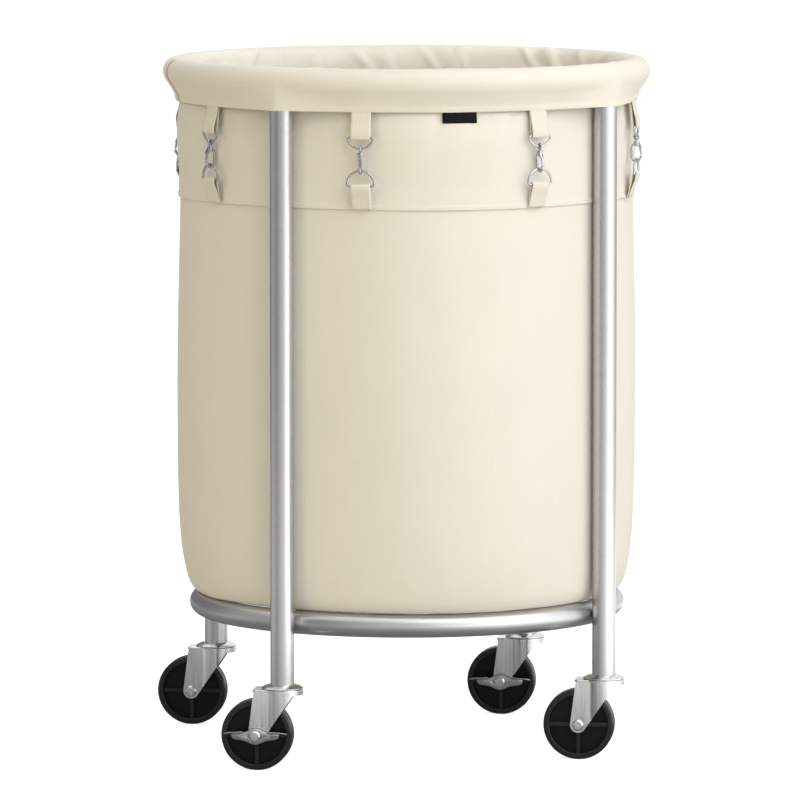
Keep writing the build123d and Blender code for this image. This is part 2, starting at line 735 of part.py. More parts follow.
def snap_hook(angle):
    """Barrel, round bow with its nose, and two ears with the gate's pin."""
    ear_start = gate_width / 2 + gate_side_gap
    upright = radial_plane(angle, clip_radius)
    with BuildPart() as hook:
        bend_start = (-hook_half_width, hook_bend_height)
        bend_end = (hook_half_width, hook_bend_height)
        with BuildLine(upright) as bow:
            FilletPolyline(
                (-hook_root_reach, barrel_bottom + hook_wire / 2),
                (-hook_half_width, barrel_top - hook_shoulder_drop),
                bend_start,
                radius=hook_bend,
            )
            ThreePointArc(bend_start, (0, hook_bend_height - hook_half_width), bend_end)
            Line(bend_end, (hook_half_width, nose_height))
        path = bow.wire()
        with BuildSketch(Plane(path @ 0, z_dir=path % 0)):
            Circle(hook_wire / 2)
        sweep(path=path)
        with BuildSketch(clip_plane(angle, barrel_bottom)):
            Circle(barrel_diameter / 2)
        extrude(amount=barrel_height)
        ear_root = ((barrel_diameter - ear_root_width) / 2, barrel_bottom + ear_root_height / 2)
        for side in (ear_start, -ear_start - ear_thickness):
            with BuildSketch(upright.offset(side)):
                with Locations((gate_pin_reach, gate_pin_height)):
                    Circle(ear_radius)
                with Locations(ear_root):
                    Rectangle(ear_root_width, ear_root_height)
                make_hull()
            extrude(amount=ear_thickness)
        with BuildSketch(upright):
            with Locations((gate_pin_reach, gate_pin_height)):
                Circle(gate_pin_diameter / 2)
        extrude(amount=ear_start + ear_thickness, both=True)
        with BuildSketch(clip_plane(angle, barrel_bottom)):
            Circle(eye_stem_diameter / 2 + running_clearance)
        extrude(amount=barrel_height, mode=Mode.SUBTRACT)
    return hook.part


def hook_gate(angle):
    """Leaf that swings inwards from its pin and closes on the hook's nose."""
    end_radius = gate_thickness / 2
    with BuildPart() as gate:
        with BuildSketch(radial_plane(angle, clip_radius)):
            with Locations((gate_pin_reach, gate_pin_height)):
                Circle(gate_eye_diameter / 2)
            with Locations((hook_half_width, nose_height + gate_end_gap + end_radius)):
                Circle(end_radius)
            make_hull()
            with Locations((gate_pin_reach, gate_pin_height)):
                Circle(gate_pin_diameter / 2 + running_clearance, mode=Mode.SUBTRACT)
        extrude(amount=gate_width / 2, both=True)
    return gate.part


def strap_seats(reach, flat, angle, turn=0.0):
    """Distances to an outline at a strap's two edges and middle, along the strap's own radius."""
    edge = degrees(strap_width / 2 / clip_radius)
    steps = (-edge, 0, edge)
    return [outline_radius(reach, flat, angle + step, turn) * cos(radians(step)) for step in steps]


strap_half = strap_thickness + 2 * cloth_gap
cuff_inside = (cuff_pole - cuff_fabric, frame_radius + cuff_hem_outset - cuff_fabric)
band_outside = (band_levels[0][1] + band_outset, band_levels[0][2] + band_outset)
upper_strap_ends = [min(strap_seats(*cuff_inside, angle, 45)) - strap_half for angle in clip_angles]
lower_strap_ends = [max(strap_seats(*band_outside, angle)) + strap_half for angle in clip_angles]
save(strap_loops(upper_bar_height, cuff_hem + strap_tuck, upper_strap_ends), "upper_straps")
save(strap_loops(lower_bar_height, band_hem + strap_end_rise, lower_strap_ends), "lower_straps")
save(d_rings(upper_bar_height, upper_ring_depth), "upper_d_rings")
save(d_rings(lower_bar_height, -lower_ring_depth), "lower_d_rings")
save(swivel_eyes(), "swivel_eyes")
for number, clip_angle in enumerate(clip_angles, start=1):
    save(snap_hook(clip_angle), f"snap_hook_{number}")
    save(hook_gate(clip_angle), f"hook_gate_{number}")
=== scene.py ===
"""Round rolling laundry hamper: the cloth bag, its webbing and label, the brake levers and the frame's finishes."""
import json
from math import atan2, cos, hypot, pi, radians, sin

import bpy
import numpy as np
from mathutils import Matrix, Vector


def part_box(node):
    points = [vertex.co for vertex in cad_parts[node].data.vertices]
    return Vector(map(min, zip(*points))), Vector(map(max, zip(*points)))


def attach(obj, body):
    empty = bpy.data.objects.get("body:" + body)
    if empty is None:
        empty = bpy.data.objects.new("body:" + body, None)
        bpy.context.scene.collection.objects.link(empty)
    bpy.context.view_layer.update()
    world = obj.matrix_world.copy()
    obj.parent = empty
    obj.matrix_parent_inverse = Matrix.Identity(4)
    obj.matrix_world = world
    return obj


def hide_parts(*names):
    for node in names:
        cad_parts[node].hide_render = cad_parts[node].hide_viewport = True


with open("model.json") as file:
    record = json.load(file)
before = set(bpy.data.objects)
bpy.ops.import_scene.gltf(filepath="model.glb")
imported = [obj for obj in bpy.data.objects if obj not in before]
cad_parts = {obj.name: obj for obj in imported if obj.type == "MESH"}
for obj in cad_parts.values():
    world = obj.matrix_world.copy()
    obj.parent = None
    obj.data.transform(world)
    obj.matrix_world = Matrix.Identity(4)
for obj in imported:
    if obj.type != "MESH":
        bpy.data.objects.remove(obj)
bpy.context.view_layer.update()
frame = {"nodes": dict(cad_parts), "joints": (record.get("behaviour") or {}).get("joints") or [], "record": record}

bl_info = {
    "name": "Rolling laundry hamper",
    "version": (1, 0, 0),
    "blender": (4, 5, 0),
    "location": "3D View > Sidebar > Hamper",
    "description": "Sews the bag of a round laundry hamper on its tube frame and finishes the metal and plastic",
    "category": "Object",
}

# Facts of the frame, in metres
nodes = frame["nodes"]
joints = {joint["name"]: joint for joint in frame["joints"]}
slot_of = {part["node"]: part["material_slot"] for part in frame["record"]["subparts"]}
colour_of = {entry["slot"]: entry["base_color"][:3] for entry in frame["record"]["materials"]}
corners = ("rear_right", "rear_left", "front_left", "front_right")
braked_corners = ("front_left", "rear_right")

pole_low, pole_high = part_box("pole_front_left")
tube_radius = (pole_high.x - pole_low.x) / 2
pole_circle = hypot((pole_low.x + pole_high.x) / 2, (pole_low.y + pole_high.y) / 2)
ring_low, ring_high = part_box("upper_ring_front")
ring_height = (ring_low.z + ring_high.z) / 2
cuff_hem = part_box("bag_cuff")[0].z
floor_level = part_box("bag_floor")[0].z
floor_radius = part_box("bag_floor")[1].x
band_hem, band_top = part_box("bag_band")[0].z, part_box("bag_band")[1].z
clips = [joints[f"hook_swivel_{number}"]["pos_m"] for number in range(1, 9)]
clip_angles = np.array([atan2(clip[1], clip[0]) for clip in clips])
clip_circle = hypot(clips[0][0], clips[0][1])
label_low, label_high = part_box("label_tab")

# Shape of the bag, as its solids have it, in metres
pole_room = 0.0018  # bag inside a pole's inner face
belly_rise = 0.240
belly_swell = 0.0015
wall_rises = np.array([0.012, 0.022, 0.036, 0.055, 0.080, 0.115, 0.165, belly_rise])
heel_draw, heel_fade = 0.018, 0.038
heel_pole_draw, heel_pole_fade = 0.0065, 0.013
floor_fold = 0.006
fold_turn = 0.3  # share of the fold at which it has turned up
band_hem_inset, band_top_inset = 0.0024, 0.0044
band_gap = 0.0004  # band off the wall
shoulder_height = ring_height - tube_radius + 0.0017
shoulder_inset = tube_radius - 0.0012
cuff_gap = 0.0002  # cloth off the upper ring
cuff_pole_gap = 0.0004  # and off a pole
cuff_insets = 0.001 * np.array([1.9, 4.9, 9.6, 12.4, 13.6])
cuff_drops = 0.001 * np.array([7.8, 12.2, 19.8, 25.0, 30.0])
cuff_hem_inset = 0.0002  # hem's outer face inside the poles' circle
pole_round = radians(1.0)  # cloth rounds a pole over this angle
lap_angle = radians(178.8)  # the cuff's ends overlap on the left
lap_rise = 0.0009
lap_fade = 0.012  # the lap grows over this length from the rim
ease_rise = 0.00022  # slight waves of the cloth
hem_edge = 0.88  # a hem's step starts at this share of its height

# Straps, label and stitches, in metres
ring_wire = 0.0025  # D-ring
strap_gap = 0.0002  # strap off the wire
strap_rib = 0.22  # rise of its edges, as a share of its thickness
ply_gap = 0.0001  # half the gap between a loop's two sides
strap_tuck = 0.008  # upper strap's ends above the cuff's hem
strap_foot = 0.0006  # lower strap's ends above the band's hem
label_width, label_thickness, label_fold = 0.037, 0.0004, 0.00035
label_inset, label_lean, label_drop = 0.0007, 0.0014, 0.0012
stitch_share = 0.42  # half a stitch, as a share of its length with the gap
stitch_spacing = 1.25  # from one stitch to the next, in stitch lengths
stitch_place = 0.7  # row of stitches, as a share of the hem's height
stitch_half_width, stitch_half_rise = 0.00034, 0.00028

# Brake levers: sizes about the axle, in metres
lever_near, lever_face = 0.0206, 0.0222  # the plate's two faces, along the axle
boss_near, boss_radius = 0.0153, 0.0066
lever_bore = 0.0041
lever_ease = 0.0004  # eased edges
wing_reach, wing_corner = 0.0255, 0.0075
wing_top, wing_drop = 0.0030, 0.0036
hub_rise, hub_spread = 0.0052, 0.0100
pedal_start, pedal_reach = 0.0125, 0.0340
pedal_depth, pedal_thickness = 0.0080, 0.0013
pedal_taper, pedal_tilt = 0.30, 0.38
pedal_tip, pedal_root = 0.22 * pedal_reach, 0.25 * pedal_start  # rounded ends
rib_pitch, rib_rise = 0.0026, 0.0004

# The photograph's view: where the camera stands and how it is turned
camera_angle = radians(-12.92)
camera_distance = 8.0436
camera_height = 1.1763
camera_pitch = radians(5.69)
camera_lens, camera_sensor = 333.73, 36.0
camera_shift = -0.00869

# Studio, in metres: each light's place to the camera's right, towards it and up, then its width and height
light_plan = {
    "key": ((2.15, 1.95, 1.9), (4.4, 3.2)),
    "fill": ((-2.3, 1.9, 1.7), (1.2, 2.0)),
    "top": ((0.2, 0.3, 3.0), (2.2, 2.2)),
    "rear": ((-0.5, -2.6, 1.8), (2.4, 2.0)),
    "inside": ((0.0, 0.0, 2.6), (0.28, 0.28)),
}
light_target = (0, 0, 0.42)
inside_spread = radians(6)
floor_reach = 60.0
screen_reach, screen_height = 2.7, 2.4
screen_start, screen_end = -172, 104  # degrees from the camera's side
low_screen_reach, low_screen_height = 1.9, 0.0005
screen_steps = (  # from and to which turn in degrees, and the rise in brightness
    (-180, -170, 0.22), (-125, -95, 0.30), (-85, -52, -0.20), (-47, -12, 0.31), (-5, 50, 1.15), (72, 102, -0.70)
)


# Settings that a user may change

def a_length(name, description, default):
    return bpy.props.FloatProperty(
        name=name, description=description, default=default, min=0.0, precision=5, subtype="DISTANCE", unit="LENGTH"
    )


def a_colour(name, description, default):
    return bpy.props.FloatVectorProperty(
        name=name, description=description, default=default, size=3, min=0.0, max=1.0, subtype="COLOR"
    )


def a_power(name, description, default):
    return bpy.props.FloatProperty(name=name, description=description, default=default, unit="POWER")


class HamperCloth(bpy.types.PropertyGroup):
    """Sizes and colours of what is sewn."""

    colour: a_colour("Cloth", "Plain woven cloth of the bag", (0.80, 0.770, 0.685))
    thread_colour: a_colour("Thread", "Sewing thread", (0.84, 0.80, 0.70))
    webbing_colour: a_colour("Webbing", "Straps that hold the D-rings", (0.80, 0.762, 0.665))
    label_colour: a_colour("Label", "Satin label tab", (0.005, 0.005, 0.0055))
    thickness: a_length("Cloth thickness", "Cloth and lining together", 0.0011)
    band_thickness: a_length("Band thickness", "Band sewn round the bag", 0.0010)
    thread_pitch: a_length("Thread pitch", "Two threads of the weave", 0.0013)
    wrinkle_depth: a_length("Wrinkle depth", "Soft folds inside, below the rim", 0.0042)
    floor_sag: a_length("Floor sag", "Sag of the floor between the base bars", 0.0035)
    cuff_hem_height: a_length("Cuff hem", "Height of the cuff's hem", 0.0050)
    band_hem_height: a_length("Band hem", "Height of the band's hem", 0.0048)
    hem_rise: a_length("Hem rise", "A hem stands this far out of the cloth", 0.0004)
    stitch_length: a_length("Stitch", "Length of one stitch", 0.0030)
    strap_width: a_length("Strap width", "Width of the webbing", 0.0210)
    strap_thickness: a_length("Strap thickness", "Thickness of the webbing", 0.0011)


class HamperMetal(bpy.types.PropertyGroup):
    """Colours of the metal and plastic."""

    tube_colour: a_colour("Tube", "Satin plated tube", (0.57, 0.57, 0.575))
    # the sleeve's colour is a little darker than the tube's, as painted shade beside the poles
    sleeve_colour: a_colour("Sleeve", "Duller sleeve where two ring tubes meet", (0.52, 0.515, 0.51))
    caster_colour: a_colour("Caster", "Bright zinc plate of the casters", (0.80, 0.80, 0.805))
    lever_colour: a_colour("Lever", "Duller zinc plate of the brake levers", (0.57, 0.57, 0.57))
    clip_colour: a_colour("Clips", "Nickel plate of the clips", (0.50, 0.505, 0.52))
    wheel_colour: a_colour("Wheel", "Moulded wheel", (0.013, 0.0125, 0.012))
    socket_colour: a_colour("Socket", "Stem socket inside a pole", colour_of["socket_plastic"])


class HamperStage(bpy.types.PropertyGroup):
    """Studio round the hamper."""

    floor_colour: a_colour("Floor", "Plain pale floor", (0.70, 0.65, 0.56))
    key_power: a_power("Key light", "Large soft light at the right", 94.0)
    fill_colour: a_colour("Fill colour", "Warm bounce at the left", (1.0, 0.79, 0.49))
    fill_power: a_power("Fill light", "Soft light at the left", 18.0)
    top_power: a_power("Top light", "Soft light overhead", 13.0)
    rear_power: a_power("Rear light", "Soft light behind", 26.0)
    inside_power: a_power("Inside light", "Narrow light down into the bag", 0.6)
    ambient: bpy.props.FloatProperty(name="Ambient", description="Light from all round", default=0.42)


# Surfaces

def smooth_line(knots, rows):
    """Smooth line through knots: in each span a cubic in rows steps, sloped by the neighbouring knots."""
    knots = np.asarray(knots, float)
    chord = run_length(knots)
    slope = np.gradient(knots, chord, axis=0)
    span = np.repeat(np.arange(len(rows)), rows)
    share = np.concatenate([np.arange(count) / count for count in rows])
    span, share = np.r_[span, len(rows) - 1], np.r_[share, 1.0][:, None]
    step = np.diff(chord)[span][:, None]
    start, end = knots[span], knots[span + 1]
    first, last = slope[span] * step, slope[span + 1] * step
    return (
        start * (1 + 2 * share) * (1 - share) ** 2
        + first * share * (1 - share) ** 2
        + end * share**2 * (3 - 2 * share)
        - last * share**2 * (1 - share)
    )


def fade(low, high, value):
    """0 below low, 1 above high, and a smooth cubic between."""
    share = np.clip((value - low) / (high - low), 0, 1)
    return share * share * (3 - 2 * share)


def run_length(points):
    """Distance along a line of points from its start."""
    return np.r_[0, np.cumsum(np.linalg.norm(np.diff(points, axis=0), axis=1))]


def unit(vectors):
    """Rows of vectors scaled to length 1."""
    return vectors / np.linalg.norm(vectors, axis=1)[:, None]


def from_pole(angles):
    """Angle to the nearest of the four poles."""
    return np.abs((angles + pi / 2) % (pi / 2) - pi / 4)


def wave_share(levels, angles):
    """0 at the four poles and 1 between them: cos(2a)^2."""
    return np.cos(2 * angles) ** 2


def taut_share(levels, angles):
    """0 at the four poles and 1 where cloth drawn straight from a pole touches the circle between.

    With d the angle from the pole and t = arccos(between / pole) it is 1 - (1 - d/t)^2, rounded off at the pole.
    """
    touch = np.arccos(np.clip(levels[:, 0:1] / levels[:, 1:2], 0.9, 0.9994))
    rounded = np.hypot(from_pole(angles), pole_round) - pole_round
    return 1 - np.clip(1 - rounded / touch, 0, 1) ** 2


def bag_share(levels, angles):
    """The wall gives way to the poles in waves, and past the rim the cuff is drawn taut over them."""
    return np.where(past_rim(levels)[:, None] >= 0, taut_share(levels, angles), wave_share(levels, angles))


def radius_round(levels, angles, share):
    """Radius at each angle: share mixes a level's radius at the poles with that between them.

    A level is its radius between the poles, its radius at the poles and its height.
    """
    return levels[:, 1:2] + (levels[:, 0:1] - levels[:, 1:2]) * share(levels, angles)


def carry_round(levels, angles, lift, share):
    """Surface that a line of levels sweeps round the axis, lifted along the line's left normal."""
    radius = radius_round(levels, angles, share)
    height = np.broadcast_to(levels[:, 2:3], radius.shape)
    across, up = np.gradient(radius, axis=0), np.gradient(height, axis=0)
    size = np.hypot(across, up)
    radius, height = radius - lift * up / size, height + lift * across / size
    return np.stack([radius * np.cos(angles), radius * np.sin(angles), height], axis=-1)


def grid_faces(rows, columns, wrapped):
    """Quads of a grid, counted along the columns first; wrapped joins the last column to the first."""
    across = columns if wrapped else columns - 1
    row, column = np.meshgrid(np.arange(rows - 1), np.arange(across), indexing="ij")
    here, there = row * columns + column, row * columns + (column + 1) % columns
    return np.stack([here, there, there + columns, here + columns], axis=-1).reshape(-1, 4)


def grid_uv(across, along):
    """Corner UVs for grid_faces: across has one value more than the faces, along one for each row."""
    uv = np.stack(np.meshgrid(across, along), axis=-1)
    return np.stack([uv[:-1, :-1], uv[:-1, 1:], uv[1:, 1:], uv[1:, :-1]], axis=2).reshape(-1, 2)


def tube_faces(rows, columns):
    """Faces of a closed tube: its grid joined round, and a cap at each end."""
    ends = [list(range(columns))[::-1], list(range((rows - 1) * columns, rows * columns))]
    return grid_faces(rows, columns, True).tolist() + ends


def shifted(faces, start):
    """Faces with their corners counted from start."""
    return [[start + corner for corner in face] for face in faces]


def make_mesh(name, points, faces, material):
    """Mesh of points and faces in one material."""
    mesh = bpy.data.meshes.new(name)
    mesh.from_pydata(np.reshape(points, (-1, 3)).tolist(), [], [list(face) for face in faces])
    mesh.materials.append(material)
    return mesh


def add_object(name, data):
    """Object at the origin, linked to the scene."""
    made = bpy.data.objects.new(name, data)
    bpy.context.scene.collection.objects.link(made)
    return made


def make_piece(name, points, faces, material, uv=None, body="frame"):
    """Smooth piece on a body; uv has one place in metres for each face corner."""
    mesh = make_mesh(name, points, faces, material)
    if uv is not None:
        mesh.uv_layers.new(name="cloth").data.foreach_set("uv", np.asarray(uv, np.float32).ravel())
    mesh.shade_smooth()
    mesh.validate()
    piece = add_object(name, mesh)
    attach(piece, body)
    return piece


def thicken(piece, thickness):
    """Give a sheet its thickness, half to each side, with closed edges."""
    solid = piece.modifiers.new("cloth thickness", "SOLIDIFY")
    solid.thickness, solid.offset, solid.use_even_offset, solid.use_rim = thickness, 0.0, True, True


# Bag

def wall_levels():
    """Levels of the side panel's outer face: near the floor the radius draws in by draw * exp(-rise / fade)."""
    pole_wall = pole_circle - tube_radius - pole_room
    between = pole_circle + belly_swell - heel_draw * np.exp(-wall_rises / heel_fade)
    at_pole = pole_wall - heel_pole_draw * np.exp(-wall_rises / heel_pole_fade)
    heel = np.stack([between, at_pole, floor_level + wall_rises], axis=1)
    insets = np.array([band_hem_inset, band_top_inset, shoulder_inset])
    heights = np.array([band_hem, band_top, shoulder_height])
    upper = np.stack([pole_circle - insets, np.full(3, pole_wall), heights], axis=1)
    return np.concatenate([heel, upper])


def heel_fold_levels(inset):
    """Levels from the floor's seam round the fold into the wall, inset from the outer face."""
    sides = np.array([pole_circle + belly_swell - heel_draw, pole_circle - tube_radius - pole_room - heel_pole_draw])
    low = floor_level + inset
    turn = fold_turn * floor_fold
    return np.array(
        [
            (floor_radius, floor_radius, low),
            (*(floor_radius + sides - floor_fold) / 2, low),
            (*sides - floor_fold, low),
            (*sides - turn - inset, low + turn),
        ]
    )


def bag_levels(thickness):
    """Line of the cloth's middle: floor seam, heel, wall, over the upper ring and down the cuff to its hem."""
    half = thickness / 2
    fold = heel_fold_levels(half)
    wall = wall_levels() - (half, half, 0)
    roll = tube_radius + cuff_gap + half
    turn = np.radians(np.linspace(180, 0, 7))
    roll_radius = pole_circle + roll * np.cos(turn)
    over = np.stack([roll_radius, roll_radius, ring_height + roll * np.sin(turn)], axis=1)
    pole_side = pole_circle + tube_radius + cuff_pole_gap + half
    hem_side = pole_circle - cuff_hem_inset - half
    between = np.r_[pole_circle + roll - cuff_insets, hem_side]
    heights = np.r_[ring_height - cuff_drops, cuff_hem]
    cuff = np.stack([between, np.full(len(between), pole_side), heights], axis=1)
    knots = np.concatenate([fold, wall, over, cuff])
    rows = [4, 4, 3, 3] + [3, 3, 3, 3, 4, 5, 6, 9, 12, 5, 5] + [4] * 6 + [3, 3, 3, 3, 4, 9]
    return smooth_line(knots, rows)


def past_rim(levels):
    """Distance along the line from its highest level, negative before it."""
    along = run_length(levels)
    return along - along[np.argmax(levels[:, 2])]


def wrinkle_field(levels, angles, depth):
    """Lift of the soft folds inside, below the rim: ridges exp(-(d/w)^2) that fade out up and down the wall.

    d is the distance round the bag from a line that slants away from the rim, and w is wider on one side.
    """
    draw = np.random.default_rng(11)
    count = 52
    place = (np.arange(count) + draw.uniform(-0.42, 0.42, count)) * 2 * pi / count
    slant = draw.uniform(-1.0, -0.1, count) * np.where(draw.uniform(0, 1, count) > 0.14, 1, -1)
    narrow = draw.uniform(0.0026, 0.0042, count)
    wide = draw.uniform(0.0070, 0.0150, count)
    strength = draw.uniform(0.4, 1.0, count)
    reach = draw.uniform(0.05, 0.15, count)
    below = -past_rim(levels)
    lift = np.zeros((len(levels), len(angles)))
    for fold in range(count):
        centre = place[fold] + slant[fold] * below / pole_circle
        away = pole_circle * ((angles[None, :] - centre[:, None] + pi) % (2 * pi) - pi)
        shape = np.exp(-((away / np.where(away < 0, narrow[fold], wide[fold])) ** 2))
        lasting = fade(0.002, 0.016, below) * (1 - fade(0.35 * reach[fold], reach[fold], below))
        lift += strength[fold] * shape * lasting[:, None]
    return depth * np.tanh(lift)


def ease_field(levels, angles):
    """Slight ease of the cloth: a few long waves round the bag, none at the poles."""
    height = levels[:, 2:3]
    waves = np.sin(7 * angles + 9 * height) + 0.7 * np.sin(13 * angles - 14 * height + 1.0)
    waves += 0.5 * np.sin(23 * angles + 21 * height)
    return ease_rise * waves * wave_share(levels, angles)


def lap_field(levels, angles):
    """Step where the back end of the cuff lies over the front end."""
    before_lap = (lap_angle - angles + pi) % (2 * pi) - pi
    over = np.where(before_lap > 0, 1 - fade(radians(4), radians(15), before_lap), 0)
    return lap_rise * fade(0.0, lap_fade, past_rim(levels))[:, None] * over[None, :]


def hem_field(levels, height, rise):
    """A hem's double cloth stands out by rise, from its stitched edge down to its fold."""
    above = levels[:, 2] - levels[-1, 2]
    return np.where(past_rim(levels) >= 0, rise * (1 - fade(hem_edge * height, height, above)), 0)[:, None]


def bag_angles():
    """Directions of the bag's columns: even, with closer ones at the poles and at the cuff's lap."""
    even = np.linspace(0, 2 * pi, 384, endpoint=False)
    near_pole = np.radians([-2.2, -1.5, -1.0, -0.5, 0, 0.5, 1.0, 1.5, 2.2])
    at_poles = np.add.outer(pi / 4 + np.arange(4) * pi / 2, near_pole).ravel()
    at_lap = lap_angle + np.array([-0.012, -0.004, -0.0004, 0.0004, 0.004, 0.012])
    kept = even[(np.abs(even - lap_angle) > 0.018) & (from_pole(even) > radians(2.6))]
    return np.unique(np.r_[kept, at_poles, at_lap])


def sew_round(name, levels, angles, lift, share, thickness, material, thread_start=0.0):
    """Cloth that a line of levels sweeps round the axis, with its threads counted from thread_start."""
    points = carry_round(levels, angles, lift, share)
    uv = grid_uv(np.r_[angles, angles[0] + 2 * pi] * pole_circle, run_length(levels) + thread_start)
    piece = make_piece(name, points, grid_faces(len(levels), len(angles), True), material, uv)
    thicken(piece, thickness)
    return piece


def sew_bag(cloth, material):
    """Side panel and cuff in one: the cloth rises from the floor's seam and rolls over the ring to a hem."""
    levels, angles = bag_levels(cloth.thickness), bag_angles()
    lift = wrinkle_field(levels, angles, cloth.wrinkle_depth) + ease_field(levels, angles)
    lift += lap_field(levels, angles) + hem_field(levels, cloth.cuff_hem_height, cloth.hem_rise)
    piece = sew_round("bag_cloth", levels, angles, lift, bag_share, cloth.thickness, material)
    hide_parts("bag_side", "bag_cuff")


def sew_floor(cloth, material):
    """Round floor panel: it sags between the base bars by sag * cos(2a)^2 * f, where f is 2.6 (r/R) (1 - (r/R)^2)."""
    angles = np.linspace(0, 2 * pi, 168, endpoint=False)
    share = np.linspace(0.02, 1.0, 34)
    low = floor_level + cloth.thickness / 2
    sag = cloth.floor_sag * np.cos(2 * angles) ** 2 * (2.6 * share * (1 - share**2))[:, None]
    radius = floor_radius * share[:, None]
    x, y = radius * np.cos(angles), radius * np.sin(angles)
    points = np.concatenate([np.stack([x, y, low - sag], axis=-1).reshape(-1, 3), [(0, 0, low)]])
    rim_faces = grid_faces(len(share), len(angles), True)[:, ::-1]
    first = np.arange(len(angles))
    fan = np.stack([np.full(len(angles), len(points) - 1), first, (first + 1) % len(angles)], axis=1)
    order = np.concatenate([rim_faces.ravel(), fan.ravel()])
    faces = [*rim_faces.tolist(), *fan.tolist()]
    piece = make_piece("bag_floor_cloth", points, faces, material, points[order, :2])
    thicken(piece, cloth.thickness)
    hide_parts("bag_floor")


def band_levels(cloth):
    """Line of the band's middle: from behind the cuff down to its hem, just outside the wall."""
    off = band_gap + cloth.band_thickness / 2
    wall = wall_levels()
    heights = np.r_[band_top + np.array([0.003, -0.02, -0.05]), band_hem + np.array([0.03, 0.008, 0.0])]
    between = np.interp(heights, wall[:, 2], wall[:, 0]) + off
    at_pole = np.interp(heights, wall[:, 2], wall[:, 1]) + off
    return smooth_line(np.stack([between, at_pole, heights], axis=1), [5, 6, 7, 8, 12])


def sew_band(cloth, material):
    """Band round the top of the bag, which carries the lower straps."""
    levels = band_levels(cloth)
    angles = np.linspace(0, 2 * pi, 252, endpoint=False)
    lift = ease_field(levels, angles) + hem_field(levels, cloth.band_hem_height, cloth.hem_rise)
    thickness = cloth.band_thickness
    piece = sew_round("band_cloth", levels, angles, lift, wave_share, thickness, material, thread_start=0.31)
    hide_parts("bag_band")


# Straps and label

def loop_line(bar, gap, end, spread):
    """Line of a loop in its radial plane: from end round a bar at distance gap and back, its sides spread at end.

    bar and end are (radius, height).
    """
    way = 1 if end[1] > bar[1] else -1
    turn = np.radians(np.linspace(0, 180, 7))
    round_bar = np.stack([bar[0] - gap * np.cos(turn), bar[1] - way * gap * np.sin(turn)], axis=1)
    back, front = np.array([end[0] - spread, end[1]]), np.array([end[0] + spread, end[1]])
    back_mid, front_mid = (back + round_bar[0]) / 2, (front + round_bar[-1]) / 2
    knots = np.concatenate([[back, back_mid], round_bar, [front_mid, front]])
    return smooth_line(knots, [5, 6] + [3] * 6 + [6, 5])


def strip_section(width, thickness, rib):
    """Section of a woven strip: width by thickness, with a raised rib along each edge and rounded sides."""
    across = np.linspace(-1, 1, 17)
    edge = np.exp(-(((np.abs(across) - 0.84) / 0.07) ** 2))
    half = thickness / 2 * (1 + rib * edge) * np.sqrt(np.clip(1 - across**18, 0.02, 1))
    offset = np.r_[across, across[::-1]] * width / 2
    return offset, np.r_[-half, half[::-1]]


def strip_points(line, section, angle, bend):
    """Points of a strip: its section carried along a line in the radial plane at angle; bend rounds its width."""
    offset, rise = section
    slope = unit(np.gradient(line, axis=0))
    radius = line[:, 0:1] - slope[:, 1:2] * rise
    height = line[:, 1:2] + slope[:, 0:1] * rise
    turn = angle + (offset / line[:, 0].mean() if bend else 0 * offset)
    side = 0 * offset if bend else offset
    x = radius * np.cos(turn) - side * np.sin(turn)
    y = radius * np.sin(turn) + side * np.cos(turn)
    return np.stack([x, y, height], axis=-1)


def weave_strips(name, lines, angles, section, material, bend=False):
    """One mesh of woven strips, each along its own line at its own angle, with flat closed ends."""
    points, faces, uv = [], [], []
    count = len(section[0])
    for line, angle in zip(lines, angles):
        faces += shifted(tube_faces(len(line), count), sum(map(len, points)))
        points.append(strip_points(line, section, angle, bend).reshape(-1, 3))
        uv += [grid_uv(np.r_[section[0], section[0][0]] + angle, run_length(line)), np.zeros((2 * count, 2))]
    piece = make_piece(name, np.concatenate(points), faces, material, np.concatenate(uv))
    for face in piece.data.polygons:
        face.use_smooth = face.loop_total == 4
    return piece


def sew_straps(cloth, material):
    """Webbing loops: the upper ones hang from inside the cuff, the lower ones stand on the band's hem."""
    wire, thickness = ring_wire / 2, cloth.strap_thickness
    gap = wire + strap_gap + thickness / 2
    spread = thickness / 2 + ply_gap
    section = strip_section(cloth.strap_width, thickness, strap_rib)
    edge = cloth.strap_width / 2 / clip_circle
    around = clip_angles[:, None] + np.array([-edge, -edge / 2, 0, edge / 2, edge])
    chord = np.cos(around - clip_angles[:, None])
    cuff_inside = (radius_round(bag_levels(cloth.thickness)[-1:], around, taut_share) * chord).min(axis=1)
    upper_ends = cuff_inside - cloth.thickness / 2 - 0.7 * thickness - spread
    hem_outside = (radius_round(band_levels(cloth)[-1:], around, wave_share) * chord).max(axis=1)
    lower_ends = hem_outside + cloth.band_thickness / 2 + cloth.hem_rise + thickness + spread
    for name, solids, bar, ends, height in (
        ("upper_webbing", "upper_straps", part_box("upper_d_rings")[1].z - wire, upper_ends, cuff_hem + strap_tuck),
        ("lower_webbing", "lower_straps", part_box("lower_d_rings")[0].z + wire, lower_ends, band_hem + strap_foot),
    ):
        lines = [loop_line((clip_circle, bar), gap, (end, height), spread) for end in ends]
        piece = weave_strips(name, lines, clip_angles, section, material)
        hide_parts(solids)


def sew_label(cloth, material):
    """Bare satin tab folded double and caught under the cuff's hem."""
    radius = pole_circle - cuff_hem_inset - cloth.thickness - label_inset
    bar = (radius + label_lean, label_low.z - label_drop + label_fold + label_thickness / 2)
    line = loop_line(bar, label_fold, (radius, label_high.z), label_fold)
    section = strip_section(label_width, label_thickness, 0.0)
    piece = weave_strips("label_ribbon", [line], [-pi / 2], section, material, bend=True)
    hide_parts("label_tab")


# Stitching

